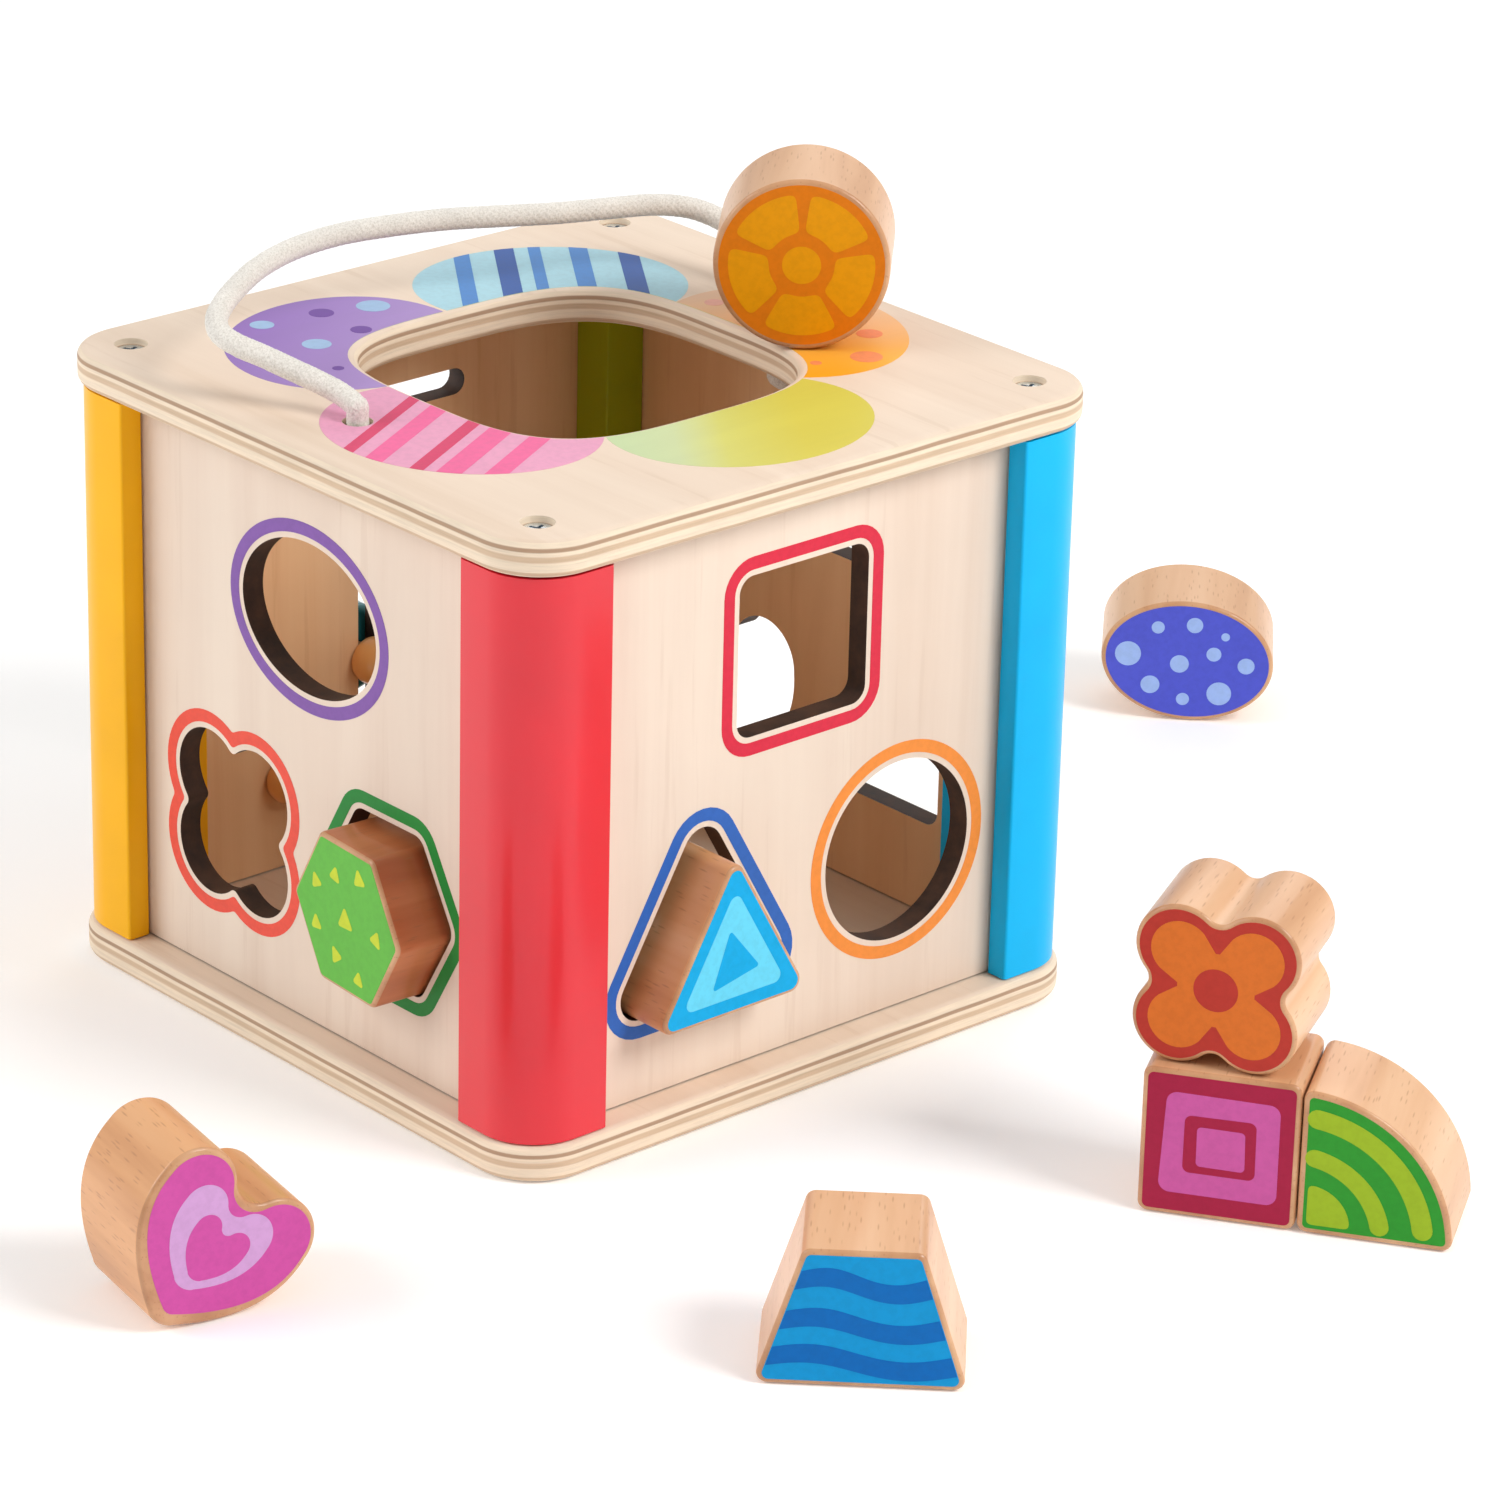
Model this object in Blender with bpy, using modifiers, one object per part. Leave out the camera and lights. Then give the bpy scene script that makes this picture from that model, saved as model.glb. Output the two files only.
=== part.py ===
"""Wooden shape sorter: a post-and-panel cube with nine shape blocks.

The cube is two plywood boards joined by four painted corner posts. Three thin
plywood panels have shape holes, the fourth has a slotted track with two
sliding knobs. A rope handle passes through two holes in the top board and is
knotted under it. Units are metres, +Z is up, and the origin is the centre of
the base board's underside.
"""
import math

import bmesh
import bpy
from mathutils import Matrix, Vector

MM = 0.001
GAP = 0.3 * MM                      # room left between two pieces that touch

# Boards
BOARD_SIZE = 150.4 * MM             # side of the square boards
BOARD_CORNER = 14.0 * MM            # corner radius seen from above
BOARD_EDGE = 2.0 * MM               # rounding of the boards' rims
BASE_THICKNESS = 7.7 * MM
TOP_THICKNESS = 7.5 * MM
OPENING_HALF = 37.8 * MM            # half width of the opening in the top board
OPENING_CENTRE = (-1.0 * MM, 0.5 * MM)
OPENING_POWER = 3.5                 # superellipse power: 2 is round, 4 is squarer

# Posts
POST_HEIGHT = 117.3 * MM            # clear height between the boards
POST_SIZE = 20.8 * MM               # side of a post's section
POST_INSET = 1.25 * MM              # from the boards' rim to the post's face
POST_CORNER = 12.5 * MM             # large rounding on the outer corner
GROOVE_DEPTH = 4.0 * MM             # how far a panel enters a post

# Panels
PANEL_THICKNESS = 5.0 * MM
PANEL_RECESS = 5.7 * MM             # from a post's face to the panel's face

# Screws
SCREW_INSET = 11.7 * MM             # from the boards' rim to a screw's axis
SCREW_SHANK = 1.6 * MM              # radius
SCREW_HEAD = 3.1 * MM               # radius
SCREW_HEAD_HEIGHT = 2.0 * MM
SCREW_LENGTH = 24.0 * MM
SCREW_SUNK = 1.2 * MM               # head's top below the board's surface

# Rope handle
ROPE_RADIUS = 2.3 * MM
ROPE_CLEARANCE = 0.7 * MM           # all round the rope in its hole
ROPE_PIVOT_RISE = 2.9 * MM          # hinge line above the top board
ROPE_LEAN = 70.0                    # degrees from upright, towards -X
KNOT_RADIUS = 6.3 * MM
KNOT_HEIGHT = 11.0 * MM
KNOT_ROOM = 0.95 * MM               # between a knot and the panel beside it

# Blocks
BLOCK_THICKNESS = 24.5 * MM
BLOCK_EDGE = 0.9 * MM               # rounding of a block's rims
CIRCLE_RADIUS = 17.8 * MM
ELLIPSE_RADII = (19.6 * MM, 14.4 * MM)
FLOWER_OFFSET = 7.6 * MM            # lobe centres from the flower's middle lines
FLOWER_LOBE = 8.7 * MM
FLOWER_WAIST = 3.0 * MM             # radius of the hollows between lobes
HEXAGON_APOTHEM = 15.75 * MM
SQUARE_HALF = 15.35 * MM
TRIANGLE_INRADIUS = 11.4 * MM
TRIANGLE_CORNER = 2.6 * MM
QUARTER_RADIUS = 30.0 * MM
TRAPEZOID_BASE = 39.4 * MM
TRAPEZOID_TOP = 22.0 * MM
TRAPEZOID_HEIGHT = 27.6 * MM
HEART_LOBE = 8.3 * MM
HEART_LOBE_OFFSET = 10.65 * MM
HEART_NOTCH = 5.35 * MM              # radius of the hollow between the lobes
HEART_DEPTH = 25.3 * MM             # sharp tip below the lobes' centres
HEART_TIP = 5.9 * MM                # rounding of the tip
BLOCK_CORNER = 2.0 * MM             # rounding of a block's sharp corners

# Holes
HOLE_CLEARANCE = 1.5 * MM           # all round a block in its hole
TRIANGLE_CLEARANCE = 2.5 * MM
TRIANGLE_HOLE_CORNER = 5.0 * MM
UPPER_HOLE_Z = 94.3 * MM            # middle of each panel's upper hole
LOWER_HOLE_Z = 42.5 * MM            # middle of the lower pair
HOLE_SIDE = 25.0 * MM               # lower holes' distance from the middle line
CIRCLE_HOLE_SIDE = 27.0 * MM
TRIANGLE_HOLE_Z = 38.8 * MM         # height of the triangle hole's centroid
HEART_HOLE_SIDE = 23.5 * MM
HEART_HOLE_Z = 48.2 * MM            # height of the heart hole's lobe centres
QUARTER_HOLE_SIDE = 40.5 * MM       # the quarter's square corner, block size
QUARTER_HOLE_Z = 29.5 * MM

# Track and sliders in the left panel
PIN_CLEARANCE = 0.6 * MM            # on each side of a pin in its slot
SLOT_MIDDLE_Y = -3.3 * MM           # the upright slot's place along Y
SLOT_HALF_SPAN = 22.7 * MM          # the bars' end centres from the middle
SLOT_TOP_Z = 106.4 * MM
SLOT_BOTTOM_Z = 28.3 * MM
KNOB_RADIUS = 10.0 * MM
KNOB_THICKNESS = 9.0 * MM
PIN_RADIUS = 2.3 * MM
PIN_SEAT = 4.0 * MM                 # how far the pin enters knob and cap
CAP_RADIUS = 5.2 * MM
CAP_HEIGHT = 7.0 * MM
TEAL_KNOB_Z = 49.6 * MM             # where the teal knob stands in the upright slot

# Where the loose blocks stand
PUSHED_OUT = 10.0 * MM              # how far the two inserted blocks stand proud
HEXAGON_YAW = -4.0                  # degrees
CIRCLE_PLACE = (13.4 * MM, 47.9 * MM)
CIRCLE_FACING = 45.0                # degrees: 0 faces -Y, 90 faces +X
PAIR_CORNER = (152.9 * MM, 13.1 * MM)   # square block's front lower corner
PAIR_FACING = 33.5
FLOWER_FACING = 28.0
FLOWER_SHIFT = (-1.5 * MM, 2.0 * MM)    # sideways and back from the square
TRAPEZOID_CORNER = (157.6 * MM, -89.9 * MM)
TRAPEZOID_FACING = 45.6
ELLIPSE_PLACE = (-22.4 * MM, 203.2 * MM)
ELLIPSE_FACING = 44.0
ELLIPSE_TILT = -5.0                 # turn within its own face
HEART_PLACE = (66.3 * MM, -143.9 * MM)
HEART_FACING = 79.5
HEART_TILT = -41.9

# Worked out from the sizes above
BOARD_HALF = BOARD_SIZE / 2
POST_BOTTOM = BASE_THICKNESS
POST_TOP = BASE_THICKNESS + POST_HEIGHT
TOP_SURFACE = POST_TOP + TOP_THICKNESS
POST_FACE = BOARD_HALF - POST_INSET
POST_INNER = POST_FACE - POST_SIZE
PANEL_FACE = POST_FACE - PANEL_RECESS
PANEL_BACK = PANEL_FACE - PANEL_THICKNESS
SCREW_AXIS = BOARD_HALF - SCREW_INSET
ROPE_PIVOT_Z = TOP_SURFACE + ROPE_PIVOT_RISE
ROPE_HOLE_RADIUS = ROPE_RADIUS + ROPE_CLEARANCE
ROPE_HOLE_Y = PANEL_BACK - KNOT_ROOM - KNOT_RADIUS
SLOT_WIDTH = 2 * (PIN_RADIUS + PIN_CLEARANCE)

# The rope's route in its own leaning plane: place along Y, height from the
# hinge line. It bows out over one side and comes down to the second hole.
ROPE_ROUTE_MM = [
    (-56.0, 0.0), (-56.2, 3.0), (-57.1, 6.3), (-59.0, 10.4), (-61.4, 15.0),
    (-64.2, 20.3), (-67.0, 25.0), (-68.1, 29.2), (-66.4, 33.2), (-62.5, 36.8),
    (-55.8, 41.0), (-47.0, 45.2), (-36.5, 48.0), (-24.3, 48.9), (-12.0, 47.8),
    (0.0, 45.9), (12.0, 43.0), (25.0, 39.7), (38.0, 37.2), (48.0, 35.0),
    (55.0, 31.4), (58.8, 25.6), (60.0, 18.0), (58.8, 9.5), (56.8, 3.4),
    (56.0, 0.0),
]
ROPE_POINTS = 64                    # points on the finished curve

# Corners as (name, sign of x, sign of y)
CORNERS = [
    ("front_left", -1, -1),
    ("front_right", 1, -1),
    ("back_right", 1, 1),
    ("back_left", -1, 1),
]

COLOURS = {
    "birch": (0.90, 0.80, 0.68),
    "beech": (0.83, 0.63, 0.44),
    "yellow": (0.99, 0.70, 0.10),
    "red": (0.88, 0.16, 0.22),
    "blue": (0.03, 0.74, 0.95),
    "green": (0.45, 0.66, 0.12),
    "teal": (0.10, 0.48, 0.55),
    "orange": (0.93, 0.45, 0.08),
    "zinc": (0.62, 0.70, 0.74),
    "cotton": (0.92, 0.90, 0.86),
}


# ---------------------------------------------------------------- materials

def linear(value):
    """One sRGB channel as the linear value that a shader takes."""
    if value <= 0.04045:
        return value / 12.92
    return ((value + 0.055) / 1.055) ** 2.4


def make_material(name, roughness, metallic=0.0):
    material = bpy.data.materials.new(name)
    material.use_nodes = True
    shader = material.node_tree.nodes["Principled BSDF"]
    colour = [linear(channel) for channel in COLOURS[name]]
    shader.inputs["Base Color"].default_value = (*colour, 1.0)
    shader.inputs["Roughness"].default_value = roughness
    shader.inputs["Metallic"].default_value = metallic
    return material


def make_materials():
    materials = {}
    for name in ("birch", "beech"):
        materials[name] = make_material(name, 0.55)
    for name in ("yellow", "red", "blue", "green", "teal", "orange"):
        materials[name] = make_material(name, 0.35)
    materials["zinc"] = make_material("zinc", 0.30, 1.0)
    materials["cotton"] = make_material("cotton", 0.90)
    return materials


# ----------------------------------------------------------- plain outlines

def arc(centre, radius, start, end, steps):
    """Points on an arc, angles in degrees, both ends included."""
    points = []
    for index in range(steps + 1):
        angle = math.radians(start + (end - start) * index / steps)
        x = centre[0] + radius * math.cos(angle)
        y = centre[1] + radius * math.sin(angle)
        points.append((x, y))
    return points


def rounded(corners, radius, steps=4):
    """A polygon, counter-clockwise and convex, with every corner an arc."""
    points = []
    count = len(corners)
    for index in range(count):
        corner = Vector(corners[index])
        before = (Vector(corners[index - 1]) - corner).normalized()
        after = (Vector(corners[(index + 1) % count]) - corner).normalized()
        half = before.angle(after) / 2
        centre = corner + (before + after).normalized() * radius / math.sin(half)
        first = corner + before * radius / math.tan(half) - centre
        last = corner + after * radius / math.tan(half) - centre
        start = math.degrees(math.atan2(first.y, first.x))
        end = math.degrees(math.atan2(last.y, last.x))
        if end < start:
            end += 360
        points += arc(centre, radius, start, end, steps)
    return points


def moved(points, x, y):
    return [(px + x, py + y) for px, py in points]


def rotated(points, degrees):
    angle = math.radians(degrees)
    cos = math.cos(angle)
    sin = math.sin(angle)
    return [(x * cos - y * sin, x * sin + y * cos) for x, y in points]


def superellipse(half, power, steps):
    points = []
    for index in range(steps):
        angle = 2 * math.pi * index / steps
        cos = math.cos(angle)
        sin = math.sin(angle)
        reach = (abs(cos) ** power + abs(sin) ** power) ** (-1 / power)
        points.append((half * reach * cos, half * reach * sin))
    return points


# ------------------------------------------------------------ block outlines
# Each gives the block's outline, or the hole's when grow is its clearance.

def circle_outline(grow=0.0):
    return arc((0, 0), CIRCLE_RADIUS + grow, 0, 360, 36)[:-1]


def ellipse_outline(grow=0.0):
    unit = arc((0, 0), 1.0, 0, 360, 36)[:-1]
    wide = ELLIPSE_RADII[0] + grow
    tall = ELLIPSE_RADII[1] + grow
    return [(x * wide, y * tall) for x, y in unit]


def square_outline(grow=0.0):
    half = SQUARE_HALF + grow
    corners = [(-half, -half), (half, -half), (half, half), (-half, half)]
    return rounded(corners, BLOCK_CORNER + grow)


def hexagon_outline(grow=0.0):
    reach = (HEXAGON_APOTHEM + grow) / math.cos(math.radians(30))
    corners = arc((0, 0), reach, 0, 360, 6)[:-1]
    return rounded(corners, BLOCK_CORNER + grow, 3)


def triangle_outline(grow=0.0, corner=TRIANGLE_CORNER):
    reach = 2 * (TRIANGLE_INRADIUS + grow)
    corners = arc((0, 0), reach, -150, 210, 3)[:-1]
    return rounded(corners, corner, 5)


def quarter_outline(grow=0.0):
    """A quarter disc with its square corner at the origin, lower left."""
    corner = BLOCK_CORNER + grow
    reach = QUARTER_RADIUS + grow
    inner = reach - corner
    # Centre of the arc that rounds each sharp end of the quarter.
    along = math.sqrt(inner ** 2 - (corner - grow) ** 2)
    tip = math.degrees(math.atan2(corner - grow, along))
    centre = corner - grow
    points = arc((centre, centre), corner, 180, 270, 4)
    points += arc((along, centre), corner, -90, tip, 5)
    points += arc((0, 0), reach, tip, 90 - tip, 16)[1:-1]
    points += arc((centre, along), corner, 90 - tip, 180, 5)
    return points


def trapezoid_outline(grow=0.0):
    """Origin at the middle of the base, on its mid height."""
    lean = (TRAPEZOID_BASE - TRAPEZOID_TOP) / 2
    slope = math.hypot(lean, TRAPEZOID_HEIGHT) / TRAPEZOID_HEIGHT
    # A parallel offset of the slanted sides, met by the offset top and base.
    low = TRAPEZOID_BASE / 2 + grow * slope + grow * lean / TRAPEZOID_HEIGHT
    high = TRAPEZOID_TOP / 2 + grow * slope - grow * lean / TRAPEZOID_HEIGHT
    half = TRAPEZOID_HEIGHT / 2 + grow
    corners = [(-low, -half), (low, -half), (high, half), (-high, half)]
    return rounded(corners, BLOCK_CORNER + grow)


def flower_outline(grow=0.0):
    """Four round lobes on the diagonals with small hollows between them."""
    lobe = FLOWER_LOBE + grow
    waist = FLOWER_WAIST - grow
    offset = FLOWER_OFFSET
    # A hollow's centre lies on a middle line, touching both lobes beside it.
    rise = math.sqrt((lobe + waist) ** 2 - offset ** 2)
    lean = math.degrees(math.atan2(rise, offset))
    points = []
    for quadrant in range(4):
        side = arc((offset, offset), lobe, lean - 90, 180 - lean, 8)
        hollow = arc((0, offset + rise), waist, -lean, lean - 180, 3)[1:-1]
        points += rotated(side + hollow, 90 * quadrant)
    return points


def heart_outline(grow=0.0):
    """Origin midway between the two lobes' centres, tip downwards."""
    lobe = HEART_LOBE + grow
    notch = max(HEART_NOTCH - grow, 0.5 * MM)
    edge = HEART_LOBE_OFFSET + lobe
    tip = -(HEART_DEPTH + grow * 1.25)
    shoulder = (edge * 1.077, tip * 0.574)
    # The rounded tip, an arc that touches both flanks.
    slope = math.atan2(shoulder[1] - tip, shoulder[0])
    radius = HEART_TIP + grow
    middle = (0.0, tip + radius / math.cos(slope))
    right = arc(middle, radius, -90, math.degrees(slope) - 90, 4)[1:]
    # The bowed flank from the tip up to the lobe's widest point.
    first = 0.6 * right[-1][0] / shoulder[0]
    for index in range(10):
        t = first + (1 - first) * index / 9
        x = 2 * (1 - t) * t * shoulder[0] + t * t * edge
        y = (1 - t) ** 2 * tip + 2 * (1 - t) * t * shoulder[1]
        right.append((x, y))
    rise = math.sqrt((lobe + notch) ** 2 - HEART_LOBE_OFFSET ** 2)
    lean = math.degrees(math.atan2(rise, HEART_LOBE_OFFSET))
    right += arc((HEART_LOBE_OFFSET, 0), lobe, 0, 180 - lean, 12)[1:]
    right += arc((0, rise), notch, -lean, -90, 2)[1:-1]
    bottom = (0.0, middle[1] - radius)
    top = (0.0, rise - notch)
    left = [(-x, y) for x, y in reversed(right)]
    return [bottom] + right + [top] + left


# --------------------------------------------------------------- making solids

def link(item, collection):
    collection.objects.link(item)
    return item


def plate(name, outlines, thickness, edge=0.0):
    """A flat solid on the XY plane, centred on it, with rounded rims.

    The first outline is the outside, the others are holes through it.
    """
    curve = bpy.data.curves.new(name, "CURVE")
    curve.dimensions = "2D"
    curve.fill_mode = "BOTH"
    curve.extrude = thickness / 2 - edge
    curve.bevel_depth = edge
    curve.bevel_resolution = 1
    curve.offset = -edge
    curve.resolution_u = 1
    for index, outline in enumerate(outlines):
        order = outline if index == 0 else list(reversed(outline))
        spline = curve.splines.new("POLY")
        spline.points.add(len(order) - 1)
        for point, place in zip(spline.points, order):
            point.co = (place[0], place[1], 0, 1)
        spline.use_cyclic_u = True
    guide = bpy.data.objects.new(name + "_outline", curve)
    bpy.context.scene.collection.objects.link(guide)
    graph = bpy.context.evaluated_depsgraph_get()
    mesh = bpy.data.meshes.new_from_object(guide.evaluated_get(graph))
    bpy.data.objects.remove(guide)
    weld(mesh)
    mesh.name = name
    return bpy.data.objects.new(name, mesh)


def weld(mesh):
    """Join a mesh's loose caps to its sides and face it outwards."""
    work = bmesh.new()
    work.from_mesh(mesh)
    bmesh.ops.remove_doubles(work, verts=work.verts, dist=1e-6)
    bmesh.ops.recalc_face_normals(work, faces=work.faces)
    work.to_mesh(mesh)
    work.free()


def turned(name, profile, steps=24):
    """A solid turned about Z from (radius, height) points, top to bottom."""
    mesh = bpy.data.meshes.new(name)
    points = [(radius, 0, height) for radius, height in profile]
    edges = [(index, index + 1) for index in range(len(points) - 1)]
    mesh.from_pydata(points, edges, [])
    item = bpy.data.objects.new(name, mesh)
    screw = item.modifiers.new("Turn", "SCREW")
    screw.steps = steps
    screw.render_steps = steps
    screw.use_merge_vertices = True
    screw.merge_threshold = 1e-6
    return item


def stand_up(item, place, facing, tilt=0.0):
    """Stand a plate on edge: its face looks towards facing, tilt turns it."""
    turn = Matrix.Rotation(math.radians(facing), 4, "Z")
    raise_up = Matrix.Rotation(math.radians(90), 4, "X")
    in_face = Matrix.Rotation(math.radians(tilt), 4, "Z")
    item.matrix_world = Matrix.Translation(place) @ turn @ raise_up @ in_face


def sideways(facing):
    """Unit vector to the right of a plate that looks towards facing."""
    angle = math.radians(facing)
    return Vector((math.cos(angle), math.sin(angle), 0))


def backwards(facing):
    """Unit vector away from where a plate looks."""
    angle = math.radians(facing)
    return Vector((-math.sin(angle), math.cos(angle), 0))


def cut(item, cutter):
    boolean = item.modifiers.new("Cut " + cutter.name, "BOOLEAN")
    boolean.operation = "DIFFERENCE"
    boolean.solver = "EXACT"
    boolean.object = cutter


def make_cutter(name, profile, place, steps, collection, upside_down=False):
    cutter = turned(name, profile, steps)
    cutter.location = place
    if upside_down:
        cutter.rotation_euler = (math.pi, 0, 0)
    cutter.hide_render = True
    cutter.display_type = "WIRE"
    return link(cutter, collection)


# ---------------------------------------------------------------------- boards

def board_outline():
    half = BOARD_HALF
    corners = [(-half, -half), (half, -half), (half, half), (-half, half)]
    return rounded(corners, BOARD_CORNER, 7)


def screw_hole_profile(thickness):
    """A countersunk hole, from above its surface at height 0 to below."""
    clear = SCREW_SHANK + GAP
    wide = SCREW_HEAD + GAP
    floor = -SCREW_SUNK
    cone = floor - SCREW_HEAD_HEIGHT - GAP
    through = -thickness - 1.0 * MM
    return [
        (0, 1.0 * MM), (wide, 1.0 * MM), (wide, floor),
        (clear, cone), (clear, through), (0, through),
    ]


def make_base_board(collection, cutters):
    board = plate("base_board", [board_outline()], BASE_THICKNESS, BOARD_EDGE)
    board.location = (0, 0, BASE_THICKNESS / 2)
    profile = screw_hole_profile(BASE_THICKNESS)
    for name, side_x, side_y in CORNERS:
        place = (side_x * SCREW_AXIS, side_y * SCREW_AXIS, 0)
        cutter = make_cutter(
            "base_hole_" + name, profile, place, 20, cutters, True)
        cut(board, cutter)
    return link(board, collection)


def make_top_board(collection, cutters):
    opening = moved(superellipse(OPENING_HALF, OPENING_POWER, 48), *OPENING_CENTRE)
    outlines = [board_outline(), opening]
    board = plate("top_board", outlines, TOP_THICKNESS, BOARD_EDGE)
    board.location = (0, 0, TOP_SURFACE - TOP_THICKNESS / 2)
    profile = screw_hole_profile(TOP_THICKNESS)
    for name, side_x, side_y in CORNERS:
        place = (side_x * SCREW_AXIS, side_y * SCREW_AXIS, TOP_SURFACE)
        cut(board, make_cutter("top_hole_" + name, profile, place, 20, cutters))
    reach = TOP_THICKNESS / 2 + 1.0 * MM
    bore = ROPE_HOLE_RADIUS
    straight = [(0, reach), (bore, reach), (bore, -reach), (0, -reach)]
    for name, side in (("front", -1), ("back", 1)):
        place = (0, side * ROPE_HOLE_Y, TOP_SURFACE - TOP_THICKNESS / 2)
        cut(board, make_cutter("rope_hole_" + name, straight, place, 20, cutters))
    return link(board, collection)


# ---------------------------------------------------------------------- screws

def screw_profile():
    """A countersunk wood screw with its head's top at height 0."""
    tip = 4.0 * MM
    return [
        (0, 0), (SCREW_HEAD, 0), (SCREW_HEAD, -0.3 * MM),
        (SCREW_SHANK, -SCREW_HEAD_HEIGHT), (SCREW_SHANK, tip - SCREW_LENGTH),
        (0, -SCREW_LENGTH),
    ]


def make_screws(collection):
    screws = []
    profile = screw_profile()
    for name, side_x, side_y in CORNERS:
        x = side_x * SCREW_AXIS
        y = side_y * SCREW_AXIS
        upper = link(turned("top_screw_" + name, profile, 16), collection)
        upper.location = (x, y, TOP_SURFACE - SCREW_SUNK)
        lower = link(turned("base_screw_" + name, profile, 16), collection)
        lower.location = (x, y, SCREW_SUNK)
        lower.rotation_euler = (math.pi, 0, 0)
        screws += [upper, lower]
    return screws


# ----------------------------------------------------------------------- posts

def post_outline():
    """Section of the post at +X +Y, with a groove for each of its panels."""
    inner = POST_INNER
    outer = POST_FACE
    near = PANEL_BACK - GAP
    far = PANEL_FACE + GAP
    deep = inner + GROOVE_DEPTH + GAP
    middle = outer - POST_CORNER
    points = [
        (inner, inner), (near, inner), (near, deep), (far, deep), (far, inner),
        (outer, inner),
    ]
    points += arc((middle, middle), POST_CORNER, 0, 90, 10)
    points += [
        (inner, outer), (inner, far), (deep, far), (deep, near), (inner, near),
    ]
    return points


def make_post(name, quarter_turns, collection, cutters):
    """One corner post, with a pilot hole in each end for its screw."""
    height = POST_HEIGHT - 2 * GAP
    outline = rotated(post_outline(), 90 * quarter_turns)
    post = plate(name, [outline], height)
    post.location = (0, 0, (POST_BOTTOM + POST_TOP) / 2)
    axis = rotated([(SCREW_AXIS, SCREW_AXIS)], 90 * quarter_turns)[0]
    bore = SCREW_SHANK + GAP
    depth = SCREW_LENGTH - TOP_THICKNESS + SCREW_SUNK + 1.5 * MM
    profile = [(0, 1.0 * MM), (bore, 1.0 * MM), (bore, -depth), (0, -depth)]
    low = (axis[0], axis[1], POST_BOTTOM + GAP)
    high = (axis[0], axis[1], POST_TOP - GAP)
    cut(post, make_cutter(name + "_pilot_low", profile, low, 12, cutters, True))
    cut(post, make_cutter(name + "_pilot_high", profile, high, 12, cutters))
    return link(post, collection)


# ---------------------------------------------------------------------- panels

def track_outline():
    """The I-shaped slot of the left panel, as seen from outside.

    Sideways is -Y there, so the upright's place changes sign.
    """
    half = SLOT_WIDTH / 2
    span = SLOT_HALF_SPAN
    low = SLOT_BOTTOM_Z
    high = SLOT_TOP_Z
    points = arc((span, low), half, -90, 90, 6)
    points += [(half, low + half), (half, high - half)]
    points += arc((span, high), half, -90, 90, 6)
    points += arc((-span, high), half, 90, 270, 6)
    points += [(-half, high - half), (-half, low + half)]
    points += arc((-span, low), half, 90, 270, 6)
    return moved(points, -SLOT_MIDDLE_Y, 0)


def make_panel(name, facing, holes, collection):
    half = POST_INNER + GROOVE_DEPTH
    low = POST_BOTTOM + GAP
    high = POST_TOP - GAP
    sheet = [(-half, low), (half, low), (half, high), (-half, high)]
    panel = plate(name, [sheet] + holes, PANEL_THICKNESS)
    middle = -backwards(facing) * (PANEL_FACE - PANEL_THICKNESS / 2)
    stand_up(panel, middle, facing)
    return link(panel, collection)


def make_panels(collection):
    room = HOLE_CLEARANCE
    front = [
        moved(ellipse_outline(room), 0, UPPER_HOLE_Z),
        moved(flower_outline(room), -HOLE_SIDE, LOWER_HOLE_Z),
        moved(hexagon_outline(room), HOLE_SIDE, LOWER_HOLE_Z),
    ]
    triangle = triangle_outline(TRIANGLE_CLEARANCE, TRIANGLE_HOLE_CORNER)
    right = [
        moved(square_outline(room), 0, UPPER_HOLE_Z),
        moved(triangle, -HOLE_SIDE, TRIANGLE_HOLE_Z),
        moved(circle_outline(room), CIRCLE_HOLE_SIDE, LOWER_HOLE_Z),
    ]
    back = [
        moved(trapezoid_outline(room), 0, UPPER_HOLE_Z),
        moved(quarter_outline(room), -QUARTER_HOLE_SIDE, QUARTER_HOLE_Z),
        moved(heart_outline(room), HEART_HOLE_SIDE, HEART_HOLE_Z),
    ]
    return [
        make_panel("panel_front", 0, front, collection),
        make_panel("panel_right", 90, right, collection),
        make_panel("panel_back", 180, back, collection),
        make_panel("panel_left", 270, [track_outline()], collection),
    ]


# --------------------------------------------------------------------- sliders

def knob_profile():
    """An outer knob with a blind bore for its pin, bore mouth at height 0."""
    bore = PIN_RADIUS + GAP
    deep = PIN_SEAT + GAP
    edge = 2.0 * MM
    outer = KNOB_RADIUS - edge
    high = KNOB_THICKNESS - edge
    rim = arc((outer, high), edge, 90, 0, 3)
    foot = arc((outer, edge), edge, 0, -90, 3)
    return [(0, KNOB_THICKNESS)] + rim + foot + [(bore, 0), (bore, deep), (0, deep)]


def cap_profile():
    """A domed inner cap with the same bore, flat side at height 0."""
    bore = PIN_RADIUS + GAP
    deep = PIN_SEAT + GAP
    flat = math.sqrt(CAP_RADIUS ** 2 - (CAP_HEIGHT - CAP_RADIUS) ** 2)
    low = math.degrees(math.asin((CAP_RADIUS - CAP_HEIGHT) / CAP_RADIUS))
    dome = arc((0, CAP_HEIGHT - CAP_RADIUS), CAP_RADIUS, 90, low, 7)[:-1]
    return dome + [(flat, 0), (bore, 0), (bore, deep), (0, deep)]


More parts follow.
